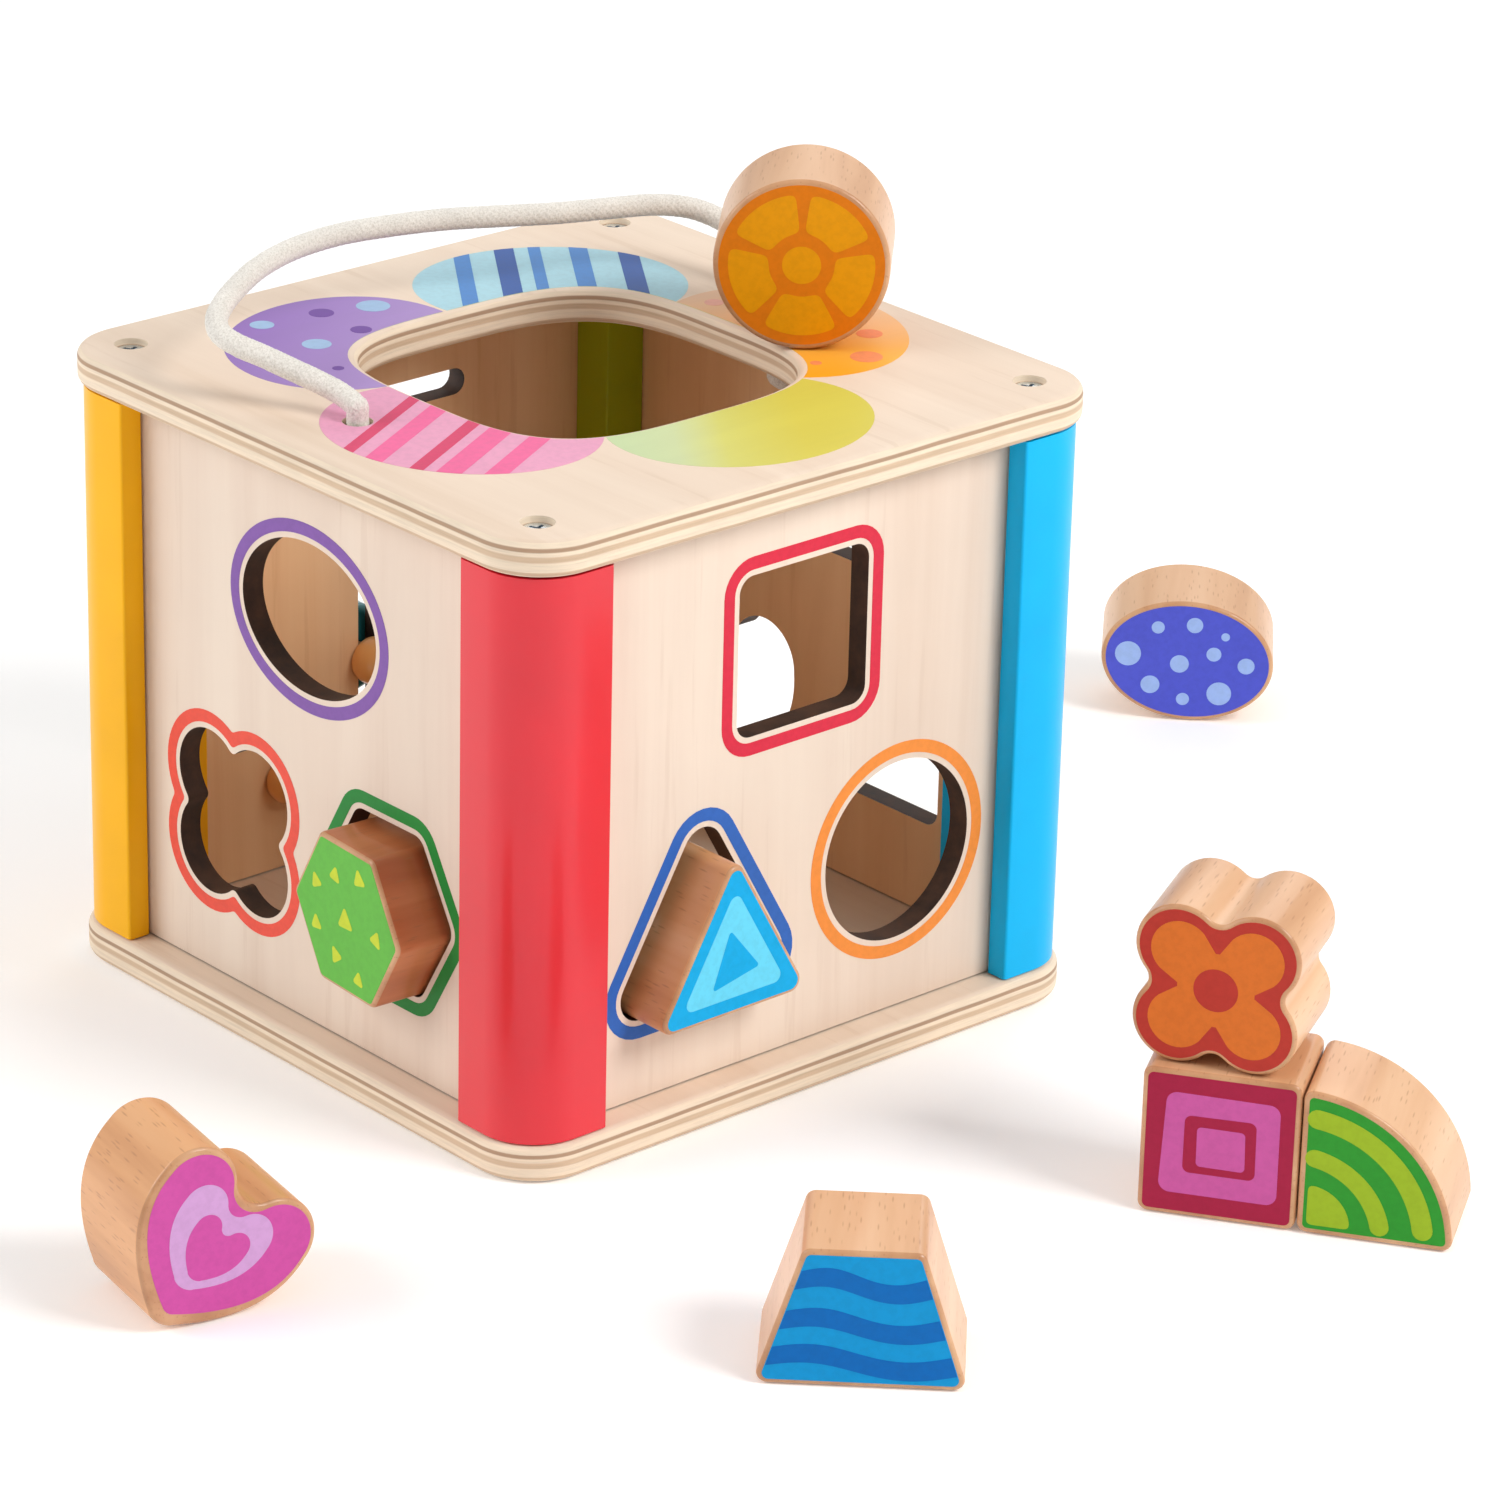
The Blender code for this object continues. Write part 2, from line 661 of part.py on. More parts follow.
def make_slider(name, y, z, paint, collection, materials):
    """A knob outside, a cap inside and the pin that joins them."""
    holder = link(bpy.data.objects.new(name + "_axis", None), collection)
    holder.location = (0, y, z)
    outside = PANEL_FACE + GAP
    inside = PANEL_BACK - GAP
    knob = turned(name + "_knob", knob_profile(), 24)
    knob.location = (-outside, 0, 0)
    knob.rotation_euler = (0, -math.pi / 2, 0)
    cap = turned(name + "_cap", cap_profile(), 16)
    cap.location = (-inside, 0, 0)
    cap.rotation_euler = (0, math.pi / 2, 0)
    half = (outside - inside) / 2 + PIN_SEAT
    stick = [(0, half), (PIN_RADIUS, half), (PIN_RADIUS, -half), (0, -half)]
    pin = turned(name + "_pin", stick, 16)
    pin.location = (-(outside + inside) / 2, 0, 0)
    pin.rotation_euler = (0, math.pi / 2, 0)
    for piece, material in ((knob, paint), (cap, "orange"), (pin, "beech")):
        piece.parent = holder
        piece.data.materials.append(materials[material])
        link(piece, collection)


# ------------------------------------------------------------------------ rope

def smooth_route(route, count):
    """Evenly spaced points on a Catmull-Rom curve through the route."""
    ends = [2 * route[0] - route[1]] + route + [2 * route[-1] - route[-2]]
    fine = []
    for index in range(1, len(ends) - 2):
        a, b, c, d = ends[index - 1:index + 3]
        for step in range(12):
            t = step / 12
            linear_part = (c - a) * t
            square_part = (2 * a - 5 * b + 4 * c - d) * t ** 2
            cube_part = (3 * b - a - 3 * c + d) * t ** 3
            fine.append((2 * b + linear_part + square_part + cube_part) / 2)
    fine.append(route[-1])
    reach = [0.0]
    for first, second in zip(fine, fine[1:]):
        reach.append(reach[-1] + (second - first).length)
    points = []
    place = 0
    for index in range(count):
        goal = reach[-1] * index / (count - 1)
        while place < len(reach) - 2 and reach[place + 1] < goal:
            place += 1
        share = (goal - reach[place]) / (reach[place + 1] - reach[place])
        points.append(fine[place].lerp(fine[place + 1], share))
    return points


def make_rope(collection):
    """The free part of the handle, hinged about the line through its holes."""
    lean = math.radians(ROPE_LEAN)
    stretch = ROPE_HOLE_Y / ROPE_ROUTE_MM[-1][0]
    route = []
    for along, up in ROPE_ROUTE_MM:
        height = up * MM
        out = -height * math.sin(lean)
        route.append(Vector((out, along * stretch, height * math.cos(lean))))
    curve = bpy.data.curves.new("rope_handle", "CURVE")
    curve.dimensions = "3D"
    curve.bevel_depth = ROPE_RADIUS
    curve.bevel_resolution = 2
    curve.use_fill_caps = True
    curve.resolution_u = 1
    spline = curve.splines.new("POLY")
    points = smooth_route(route, ROPE_POINTS)
    spline.points.add(len(points) - 1)
    for point, place in zip(spline.points, points):
        point.co = (*place, 1)
    rope = bpy.data.objects.new("rope_handle", curve)
    rope.location = (0, 0, ROPE_PIVOT_Z)
    return link(rope, collection)


def make_knot(name, side, collection):
    """The rope's end: a stem in the board's hole and the knot under it."""
    under = POST_TOP - GAP
    middle = under - KNOT_HEIGHT / 2
    knot = []
    for radius, height in arc((0, 0), 1.0, 70, -90, 7):
        knot.append((radius * KNOT_RADIUS, middle + height * KNOT_HEIGHT / 2))
    neck = (ROPE_RADIUS, knot[0][1] + GAP)
    stem = [(0, TOP_SURFACE), (ROPE_RADIUS, TOP_SURFACE), neck]
    item = turned(name, stem + knot, 16)
    item.location = (0, side * ROPE_HOLE_Y, 0)
    return link(item, collection)


# ---------------------------------------------------------------------- blocks

def make_block(name, outline, place, facing, collection, tilt=0.0):
    block = plate(name, [outline], BLOCK_THICKNESS, BLOCK_EDGE)
    stand_up(block, place, facing, tilt)
    return link(block, collection)


def lowest(outline, tilt=0.0):
    """How far an outline reaches below its origin once it is tilted."""
    return -min(y for x, y in rotated(outline, tilt))


def place_from_corner(corner, facing, along):
    """Middle of a standing block whose front lower corner is given."""
    middle = Vector((corner[0], corner[1], 0))
    middle += sideways(facing) * along
    middle += backwards(facing) * BLOCK_THICKNESS / 2
    return middle


def make_inserted_blocks(collection):
    """The hexagon and the triangle rest in their holes, half way out."""
    out = PANEL_FACE + PUSHED_OUT - BLOCK_THICKNESS / 2
    drop = HOLE_CLEARANCE - GAP
    place = Vector((HOLE_SIDE, -out, LOWER_HOLE_Z - drop))
    hexagon = make_block("block_hexagon", hexagon_outline(), place, HEXAGON_YAW, collection)
    drop = TRIANGLE_CLEARANCE - GAP
    place = Vector((out, -HOLE_SIDE, TRIANGLE_HOLE_Z - drop))
    triangle = make_block("block_triangle", triangle_outline(), place, 90, collection)
    return [hexagon, triangle]


def make_standing_blocks(collection):
    """The blocks that stand on the top board and on the ground."""
    blocks = []
    height = TOP_SURFACE + CIRCLE_RADIUS + GAP
    place = Vector((*CIRCLE_PLACE, height))
    blocks.append(make_block("block_circle", circle_outline(), place, CIRCLE_FACING, collection))

    corner = place_from_corner(PAIR_CORNER, PAIR_FACING, SQUARE_HALF)
    place = corner + Vector((0, 0, SQUARE_HALF))
    blocks.append(make_block("block_square", square_outline(), place, PAIR_FACING, collection))

    step = SQUARE_HALF + GAP
    place = corner + sideways(PAIR_FACING) * step
    blocks.append(make_block("block_quarter", quarter_outline(), place, PAIR_FACING, collection))

    height = 2 * SQUARE_HALF + GAP + lowest(flower_outline())
    place = corner + Vector((0, 0, height))
    place += sideways(PAIR_FACING) * FLOWER_SHIFT[0]
    place += backwards(PAIR_FACING) * FLOWER_SHIFT[1]
    blocks.append(make_block("block_flower", flower_outline(), place, FLOWER_FACING, collection))

    place = place_from_corner(TRAPEZOID_CORNER, TRAPEZOID_FACING, TRAPEZOID_BASE / 2)
    place.z = TRAPEZOID_HEIGHT / 2
    outline = trapezoid_outline()
    blocks.append(make_block("block_trapezoid", outline, place, TRAPEZOID_FACING, collection))

    outline = ellipse_outline()
    place = Vector((*ELLIPSE_PLACE, lowest(outline, ELLIPSE_TILT)))
    blocks.append(make_block(
        "block_ellipse", outline, place, ELLIPSE_FACING, collection, ELLIPSE_TILT))

    outline = heart_outline()
    place = Vector((*HEART_PLACE, lowest(outline, HEART_TILT)))
    blocks.append(make_block(
        "block_heart", outline, place, HEART_FACING, collection, HEART_TILT))
    return blocks


# ------------------------------------------------------------------- the whole

def clear_scene():
    for item in list(bpy.data.objects):
        bpy.data.objects.remove(item)


def paint(items, material):
    for item in items:
        item.data.materials.append(material)


def build():
    clear_scene()
    scene = bpy.context.scene.collection
    parts = bpy.data.collections.new("shape_sorter")
    cutters = bpy.data.collections.new("cutters")
    scene.children.link(parts)
    scene.children.link(cutters)
    materials = make_materials()

    boards = [make_base_board(parts, cutters), make_top_board(parts, cutters)]
    paint(boards + make_panels(parts), materials["birch"])
    post_turns = (("green", 1), ("yellow", 2), ("red", 3), ("blue", 0))
    for colour, quarter_turns in post_turns:
        post = make_post("post_" + colour, quarter_turns, parts, cutters)
        paint([post], materials[colour])
    paint(make_screws(parts), materials["zinc"])

    make_slider("teal", SLOT_MIDDLE_Y, TEAL_KNOB_Z, "teal", parts, materials)
    side_y = SLOT_MIDDLE_Y - SLOT_HALF_SPAN
    make_slider("red", side_y, SLOT_BOTTOM_Z, "red", parts, materials)

    rope = [make_rope(parts)]
    rope.append(make_knot("rope_knot_front", -1, parts))
    rope.append(make_knot("rope_knot_back", 1, parts))
    paint(rope, materials["cotton"])
    paint(make_inserted_blocks(parts), materials["beech"])
    paint(make_standing_blocks(parts), materials["beech"])


build()
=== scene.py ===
"""The looks of the wooden shape sorter: plywood, painted posts, printed blocks.

The cube's pieces are rebuilt here with finer outlines, ply edges, printed
decorations, cross-head screws and a braided rope. Metres, +Z up.
"""
import math

import bmesh
import bpy
from mathutils import Matrix, Vector


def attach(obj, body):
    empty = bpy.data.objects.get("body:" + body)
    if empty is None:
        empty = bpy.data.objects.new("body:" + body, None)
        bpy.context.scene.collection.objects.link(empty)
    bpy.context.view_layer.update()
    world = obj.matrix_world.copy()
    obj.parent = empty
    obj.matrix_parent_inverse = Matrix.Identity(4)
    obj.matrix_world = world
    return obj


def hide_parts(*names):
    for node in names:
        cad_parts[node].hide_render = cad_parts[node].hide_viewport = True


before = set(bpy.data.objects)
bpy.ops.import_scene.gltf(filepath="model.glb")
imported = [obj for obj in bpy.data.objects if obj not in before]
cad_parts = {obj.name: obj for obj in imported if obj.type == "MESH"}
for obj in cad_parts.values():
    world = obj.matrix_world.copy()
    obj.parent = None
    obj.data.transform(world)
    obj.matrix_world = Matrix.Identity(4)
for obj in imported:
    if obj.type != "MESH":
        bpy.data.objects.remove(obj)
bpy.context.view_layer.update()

MM = 0.001
GAP = 0.3 * MM


# ------------------------------------------------------------------ sizes
BOARD_HALF = 75.2 * MM
BOARD_CORNER = 14.0 * MM
BOARD_EDGE = 2.0 * MM
BASE_THICKNESS = 7.7 * MM
TOP_THICKNESS = 7.5 * MM
OPENING_HALF = 37.8 * MM
OPENING_CENTRE = (-1.0 * MM, 0.5 * MM)
OPENING_POWER = 3.5
POST_HEIGHT = 117.3 * MM
POST_SIZE = 20.8 * MM
POST_INSET = 1.25 * MM
POST_CORNER = 12.5 * MM
GROOVE_DEPTH = 4.0 * MM
PANEL_THICKNESS = 5.0 * MM
PANEL_RECESS = 5.7 * MM
SCREW_AXIS = BOARD_HALF - 11.7 * MM
SCREW_SHANK = 1.6 * MM
SCREW_HEAD = 3.1 * MM
SCREW_HEAD_HEIGHT = 2.0 * MM
SCREW_LENGTH = 24.0 * MM
SCREW_SUNK = 1.2 * MM
THREAD_ROOT = 1.15 * MM
THREAD_PITCH = 1.4 * MM
RECESS_HALF = (1.8 * MM, 0.36 * MM)
ROPE_RADIUS = 2.3 * MM
ROPE_HOLE_Y = 56.0 * MM
ROPE_HOLE_RADIUS = 3.0 * MM
ROPE_LEAN = math.radians(70.0)
ROPE_PIVOT_RISE = 2.9 * MM
ROPE_HOLE_EASE = 0.1 * MM
BLOCK_THICKNESS = 24.5 * MM
BLOCK_EDGE = 0.9 * MM
CIRCLE_RADIUS = 17.8 * MM
ELLIPSE_RADII = (19.6 * MM, 14.4 * MM)
FLOWER_OFFSET = 7.6 * MM
FLOWER_LOBE = 8.7 * MM
FLOWER_WAIST = 3.0 * MM
HEXAGON_APOTHEM = 15.75 * MM
SQUARE_HALF = 15.35 * MM
TRIANGLE_INRADIUS = 11.4 * MM
TRIANGLE_CORNER = 2.6 * MM
QUARTER_RADIUS = 30.0 * MM
TRAPEZOID_BASE = 39.4 * MM
TRAPEZOID_TOP = 22.0 * MM
TRAPEZOID_HEIGHT = 27.6 * MM
HEART_LOBE = 8.3 * MM
HEART_LOBE_OFFSET = 10.65 * MM
HEART_NOTCH = 5.35 * MM
HEART_DEPTH = 25.3 * MM
HEART_TIP = 5.9 * MM
BLOCK_CORNER = 2.0 * MM
MOST_SHRINK = 0.8 * MM
HOLE_CLEARANCE = 1.5 * MM
TRIANGLE_CLEARANCE = 2.5 * MM
TRIANGLE_HOLE_CORNER = 5.0 * MM
UPPER_HOLE_Z = 94.3 * MM
LOWER_HOLE_Z = 42.5 * MM
HOLE_SIDE = 25.0 * MM
CIRCLE_HOLE_SIDE = 27.0 * MM
TRIANGLE_HOLE_Z = 38.8 * MM
HEART_HOLE_SIDE = 23.5 * MM
HEART_HOLE_Z = 48.2 * MM
QUARTER_HOLE_SIDE = 40.5 * MM
QUARTER_HOLE_Z = 29.5 * MM
SLOT_WIDTH = 5.8 * MM
SLOT_MIDDLE_Y = -3.3 * MM
SLOT_HALF_SPAN = 22.7 * MM
SLOT_TOP_Z = 106.4 * MM
SLOT_BOTTOM_Z = 28.3 * MM
KNOB_RADIUS = 10.0 * MM
KNOB_THICKNESS = 9.0 * MM
PIN_RADIUS = 2.3 * MM
PIN_SEAT = 4.0 * MM
CAP_RADIUS = 5.2 * MM
CAP_HEIGHT = 7.0 * MM
TEAL_KNOB_Z = 49.6 * MM
PUSHED_OUT = 10.0 * MM

# Where each loose block stands, in plan, and the way it faces in degrees.
PAIR_CORNER = (152.9 * MM, 13.1 * MM)
PAIR_FACING = 33.5
CIRCLE_PLACE = (13.4 * MM, 47.9 * MM)
CIRCLE_FACING = 45.0
TRAPEZOID_CORNER = (157.6 * MM, -89.9 * MM)
TRAPEZOID_FACING = 45.6
ELLIPSE_PLACE = (-22.4 * MM, 203.2 * MM)
ELLIPSE_FACING = 44.0
ELLIPSE_TILT = -5.0
HEART_PLACE = (66.3 * MM, -143.9 * MM)
HEART_FACING = 79.5
HEART_TILT = -41.9
FLOWER_FACING = 28.0
FLOWER_SHIFT = (-1.5, 2.0)
HEXAGON_FACING = -4.0

POST_BOTTOM = BASE_THICKNESS
POST_TOP = BASE_THICKNESS + POST_HEIGHT
TOP_SURFACE = POST_TOP + TOP_THICKNESS
POST_FACE = BOARD_HALF - POST_INSET
POST_INNER = POST_FACE - POST_SIZE
PANEL_FACE = POST_FACE - PANEL_RECESS
PANEL_BACK = PANEL_FACE - PANEL_THICKNESS
ROPE_PIVOT_Z = TOP_SURFACE + ROPE_PIVOT_RISE

ROPE_ROUTE_MM = [
    (-56.0, 0.0), (-56.2, 3.0), (-57.1, 6.3), (-59.0, 10.4), (-61.4, 15.0),
    (-64.2, 20.3), (-67.0, 25.0), (-68.1, 29.2), (-66.4, 33.2), (-62.5, 36.8),
    (-55.8, 41.0), (-47.0, 45.2), (-36.5, 48.0), (-24.3, 48.9), (-12.0, 47.8),
    (0.0, 45.9), (12.0, 43.0), (25.0, 39.7), (38.0, 37.2), (48.0, 35.0),
    (55.0, 31.4), (58.8, 25.6), (60.0, 18.0), (58.8, 9.5), (56.8, 3.4),
    (56.0, 0.0),
]

# Printed patches: thin plates just above a face. Each level stands a little
# higher than the one under it, and each patch a hair higher than the last.
PRINT_THICKNESS = 0.05 * MM
PRINT_LIFT = 0.03 * MM
PRINT_FIRST = 0.4
RING_BAND = (2.7 * MM, 5.4 * MM)
PETAL_RADII = (24.5 * MM, 28.5 * MM)
LEVEL_FACE = 0.85


# -------------------------------------------------------------- materials

def linear(value):
    if value <= 0.04045:
        return value / 12.92
    return ((value + 0.055) / 1.055) ** 2.4


def colour(red, green, blue):
    """A colour given as 0 to 255 channels, for a shader's socket."""
    return tuple(linear(v / 255) for v in (red, green, blue)) + (1.0,)


class Paint:
    """A Principled material and the small node groups that vary it."""

    def __init__(self, name, roughness=0.5, coat=0.0, gloss=0.5):
        self.material = bpy.data.materials.new(name)
        self.material.use_nodes = True
        self.tree = self.material.node_tree
        self.shader = self.tree.nodes["Principled BSDF"]
        self.shader.inputs["Roughness"].default_value = roughness
        self.shader.inputs["Coat Weight"].default_value = coat
        self.shader.inputs["Coat Roughness"].default_value = 0.12
        self.shader.inputs["Specular IOR Level"].default_value = gloss
        self.heights = []

    def node(self, kind, **values):
        made = self.tree.nodes.new(kind)
        for key, value in values.items():
            setattr(made, key, value)
        return made

    def link(self, source, target):
        self.tree.links.new(source, target)

    def place(self, scale=(1, 1, 1), turn=(0, 0, 0)):
        """Object coordinates, stretched for a grain."""
        where = self.node("ShaderNodeTexCoord")
        mapping = self.node("ShaderNodeMapping")
        mapping.inputs["Scale"].default_value = scale
        mapping.inputs["Rotation"].default_value = turn
        self.link(where.outputs["Object"], mapping.inputs["Vector"])
        return mapping.outputs["Vector"]

    def noise(self, vector, scale, detail=4.0, rough=0.5, distortion=0.0):
        made = self.node("ShaderNodeTexNoise")
        made.inputs["Scale"].default_value = scale
        made.inputs["Detail"].default_value = detail
        made.inputs["Roughness"].default_value = rough
        made.inputs["Distortion"].default_value = distortion
        self.link(vector, made.inputs["Vector"])
        return made.outputs["Fac"]

    def ramp(self, source, stops, interpolation="LINEAR"):
        made = self.node("ShaderNodeValToRGB")
        made.color_ramp.interpolation = interpolation
        parts = made.color_ramp.elements
        while len(parts) < len(stops):
            parts.new(0.5)
        for part, (place, shade) in zip(parts, stops):
            part.position = place
            part.color = shade
        self.link(source, made.inputs["Fac"])
        return made.outputs["Color"]

    def fade(self, source, start, dark, end, light):
        """A ramp between two greys, for wear, pores and haze."""
        return self.ramp(source, [(start, grey(dark)), (end, grey(light))])

    def mix(self, share, first, second, way="MIX"):
        made = self.node("ShaderNodeMix", data_type="RGBA", blend_type=way)
        for socket, value in ((made.inputs[0], share), (made.inputs[6], first),
                              (made.inputs[7], second)):
            if isinstance(value, (float, tuple)):
                socket.default_value = value
            else:
                self.link(value, socket)
        return made.outputs[2]

    def steps(self, source, low, high):
        """A smooth step from 0 to 1 between two values."""
        made = self.node("ShaderNodeMapRange", interpolation_type="SMOOTHSTEP")
        made.inputs["From Min"].default_value = low
        made.inputs["From Max"].default_value = high
        self.link(source, made.inputs["Value"])
        return made.outputs["Result"]

    def base(self, shade):
        socket = self.shader.inputs["Base Color"]
        if isinstance(shade, tuple):
            socket.default_value = shade
        else:
            self.link(shade, socket)

    def roughness(self, source, low, high):
        made = self.node("ShaderNodeMapRange")
        made.inputs["To Min"].default_value = low
        made.inputs["To Max"].default_value = high
        self.link(source, made.inputs["Value"])
        self.link(made.outputs["Result"], self.shader.inputs["Roughness"])

    def bump(self, source, strength, distance):
        made = self.node("ShaderNodeBump")
        made.inputs["Strength"].default_value = strength
        made.inputs["Distance"].default_value = distance
        self.link(source, made.inputs["Height"])
        if self.heights:
            self.link(self.heights[-1], made.inputs["Normal"])
        self.heights.append(made.outputs["Normal"])
        self.link(made.outputs["Normal"], self.shader.inputs["Normal"])


def grey(value):
    return (value, value, value, 1.0)


def birch_material(name, grain, light, mid, dark, vein):
    """Birch ply face. grain is the scale that stretches along it."""
    made = Paint(name, 0.5, 0.0, 0.3)
    along = made.place(grain)
    figure = made.noise(along, 42.0, 6.0, 0.62, 0.9)
    cloud = made.noise(made.place(), 22.0, 3.0)
    pores = made.noise(along, 330.0, 3.0, 0.6)
    tone = made.ramp(figure, [(0.30, dark), (0.46, mid), (0.66, light)])
    fleck = made.steps(pores, 0.58, 0.70)
    strength = made.fade(fleck, 0.0, 0.0, 1.0, 0.30)
    veined = made.mix(strength, tone, vein)
    haze = made.fade(cloud, 0.35, 0.96, 0.62, 1.0)
    made.base(made.mix(1.0, veined, haze, "MULTIPLY"))
    made.roughness(figure, 0.42, 0.62)
    made.bump(figure, 0.12, 0.0003)
    made.bump(pores, 0.15, 0.00012)
    return made.material


def ply_edge_material(name, bottom, layers):
    """The board's rim: stacked veneers. layers are (height mm, colour)."""
    span = layers[-1][0]
    lowest_seen = bottom + 0.25 * MM
    made = Paint(name, 0.6)
    where = made.node("ShaderNodeTexCoord")
    split = made.node("ShaderNodeSeparateXYZ")
    made.link(where.outputs["Object"], split.inputs["Vector"])
    wander = made.noise(made.place((1, 1, 0.2)), 30.0, 2.0)
    lift = made.node("ShaderNodeMath", operation="MULTIPLY_ADD")
    made.link(wander, lift.inputs[0])
    lift.inputs[1].default_value = 0.0005
    made.link(split.outputs["Z"], lift.inputs[2])
    height = made.node("ShaderNodeMapRange")
    height.inputs["From Min"].default_value = lowest_seen
    height.inputs["From Max"].default_value = lowest_seen + span * MM
    made.link(lift.outputs["Value"], height.inputs["Value"])
    stops = [(place / span, shade) for place, shade in layers]
    tone = made.ramp(height.outputs["Result"], stops)
    streak = made.noise(made.place((1.2, 1.2, 26)), 60.0, 5.0, 0.7)
    fibre = made.fade(streak, 0.3, 0.80, 0.6, 1.0)
    made.base(made.mix(0.8, tone, fibre, "MULTIPLY"))
    made.roughness(streak, 0.5, 0.75)
    made.bump(streak, 0.35, 0.0003)
    return made.material


def burnt_material():
    """The sawn and scorched wall of a hole in a thin panel."""
    made = Paint("burnt_edge", 0.7)
    streak = made.noise(made.place(), 90.0, 5.0, 0.7)
    tone = made.ramp(streak, [(0.3, colour(36, 24, 18)), (0.72, colour(88, 60, 44))])
    made.base(tone)
    made.roughness(streak, 0.55, 0.85)
    made.bump(streak, 0.4, 0.0003)
    return made.material


def beech_material(name, light, mid, dark, turn=(0, 0, 0)):
    """Solid beech with short dark rays that run along local Z."""
    made = Paint(name, 0.40, 0.30)
    along = made.place((1, 1, 0.10), turn)
    figure = made.noise(along, 90.0, 4.0, 0.55, 0.4)
    tone = made.ramp(figure, [(0.30, dark), (0.48, mid), (0.70, light)])
    cells = made.node("ShaderNodeTexVoronoi", feature="F1")
    cells.inputs["Scale"].default_value = 1250.0
    cells.inputs["Randomness"].default_value = 1.0
    made.link(made.place((1, 1, 0.14), turn), cells.inputs["Vector"])
    ray = made.steps(cells.outputs["Distance"], 0.30, 0.08)
    strength = made.fade(ray, 0.0, 0.0, 1.0, 0.45)
    made.base(made.mix(strength, tone, colour(168, 112, 72)))
    made.roughness(figure, 0.34, 0.55)
    made.bump(figure, 0.10, 0.0002)
    made.bump(ray, 0.12, 0.00006)
    return made.material


def end_grain_material(name, light, mid, dark):
    """The sawn end of a beech block: soft growth rings and fine pores."""
    made = Paint(name, 0.5, 0.15)
    warped = made.noise(made.place((26, 5, 1)), 9.0, 3.0, 0.5, 0.5)
    pores = made.noise(made.place(), 1500.0, 3.0, 0.6)
    tone = made.ramp(warped, [(0.34, dark), (0.5, mid), (0.64, light)])
    dotted = made.fade(pores, 0.36, 0.84, 0.52, 1.0)
    made.base(made.mix(1.0, tone, dotted, "MULTIPLY"))
    made.roughness(pores, 0.42, 0.62)
    made.bump(pores, 0.12, 0.0001)
    return made.material


def lacquer_material(name, shade, roughness, coat, gloss):
    """Glossy paint with faint brush texture and wood grain telegraphing."""
    made = Paint(name, roughness, coat, gloss)
    along = made.place((1, 1, 0.06))
    figure = made.noise(along, 130.0, 4.0, 0.6)
    smudge = made.noise(made.place(), 35.0, 3.0)
    lower = tuple(channel * 0.90 for channel in shade[:3]) + (1.0,)
    made.base(made.ramp(smudge, [(0.3, lower), (0.7, shade)]))
    made.roughness(smudge, roughness * 0.8, roughness * 1.5)
    made.bump(figure, 0.10, 0.00012)
    return made.material


def print_material(name, shade, roughness=0.38, screened=0.93):
    """A flat printed colour with the wood's pores showing faintly."""
    made = Paint(name, roughness, 0.0, 0.15)
    patch = made.noise(made.place(), 700.0, 3.0, 0.6)
    cloud = made.noise(made.place(), 60.0, 2.0)
    low = tuple(channel * screened for channel in shade[:3]) + (1.0,)
    tone = made.ramp(patch, [(0.35, low), (0.6, shade)])
    haze = made.fade(cloud, 0.3, 0.96, 0.7, 1.0)
    made.base(made.mix(1.0, tone, haze, "MULTIPLY"))
    made.roughness(patch, roughness * 0.85, roughness * 1.25)
    made.bump(patch, 0.08, 0.00008)
    return made.material


def graded_print(name, stops, direction, start, reach):
    """A print whose colour changes smoothly along a direction."""
    made = Paint(name, 0.36, 0.0, 0.2)
    where = made.node("ShaderNodeTexCoord")
    dot = made.node("ShaderNodeVectorMath", operation="DOT_PRODUCT")
    dot.inputs[1].default_value = (*direction, 0)
    made.link(where.outputs["Object"], dot.inputs[0])
    spread = made.node("ShaderNodeMapRange")
    spread.inputs["From Min"].default_value = start
    spread.inputs["From Max"].default_value = start + reach
    made.link(dot.outputs["Value"], spread.inputs["Value"])
    tone = made.ramp(spread.outputs["Result"], stops)
    grain = made.noise(made.place((1, 0.12, 1)), 130.0, 5.0, 0.6)
    fibre = made.fade(grain, 0.3, 0.94, 0.65, 1.0)
    made.base(made.mix(1.0, tone, fibre, "MULTIPLY"))
    made.roughness(grain, 0.3, 0.5)
    made.bump(grain, 0.1, 0.0001)
    return made.material


def zinc_material():
    made = Paint("zinc_plate", 0.28)
    made.shader.inputs["Metallic"].default_value = 1.0
    scuff = made.noise(made.place(), 900.0, 4.0, 0.6)
    made.base(made.ramp(scuff, [(0.3, colour(196, 212, 224)), (0.7, colour(240, 246, 250))]))
    made.roughness(scuff, 0.16, 0.34)
    made.bump(scuff, 0.1, 0.0001)
    return made.material


def cotton_material():
    made = Paint("cotton_rope", 0.9)
    made.shader.inputs["Sheen Weight"].default_value = 0.3
    fibre = made.noise(made.place(), 2600.0, 4.0, 0.6)
    soil = made.noise(made.place(), 120.0, 3.0)
    tone = made.ramp(fibre, [(0.3, colour(206, 200, 190)), (0.6, colour(238, 234, 226))])
    wear = made.fade(soil, 0.3, 0.94, 0.6, 1.0)
    made.base(made.mix(1.0, tone, wear, "MULTIPLY"))
    made.roughness(fibre, 0.8, 0.98)
    made.bump(fibre, 0.3, 0.0001)
    return made.material


# --------------------------------------------------------- plain outlines

def arc(centre, radius, start, end, steps):
    points = []
    for index in range(steps + 1):
        angle = math.radians(start + (end - start) * index / steps)
        x = centre[0] + radius * math.cos(angle)
        y = centre[1] + radius * math.sin(angle)
        points.append((x, y))
    return points


def disc(centre, radius, steps=36):
    return arc(centre, radius, 0, 360, steps)[:-1]


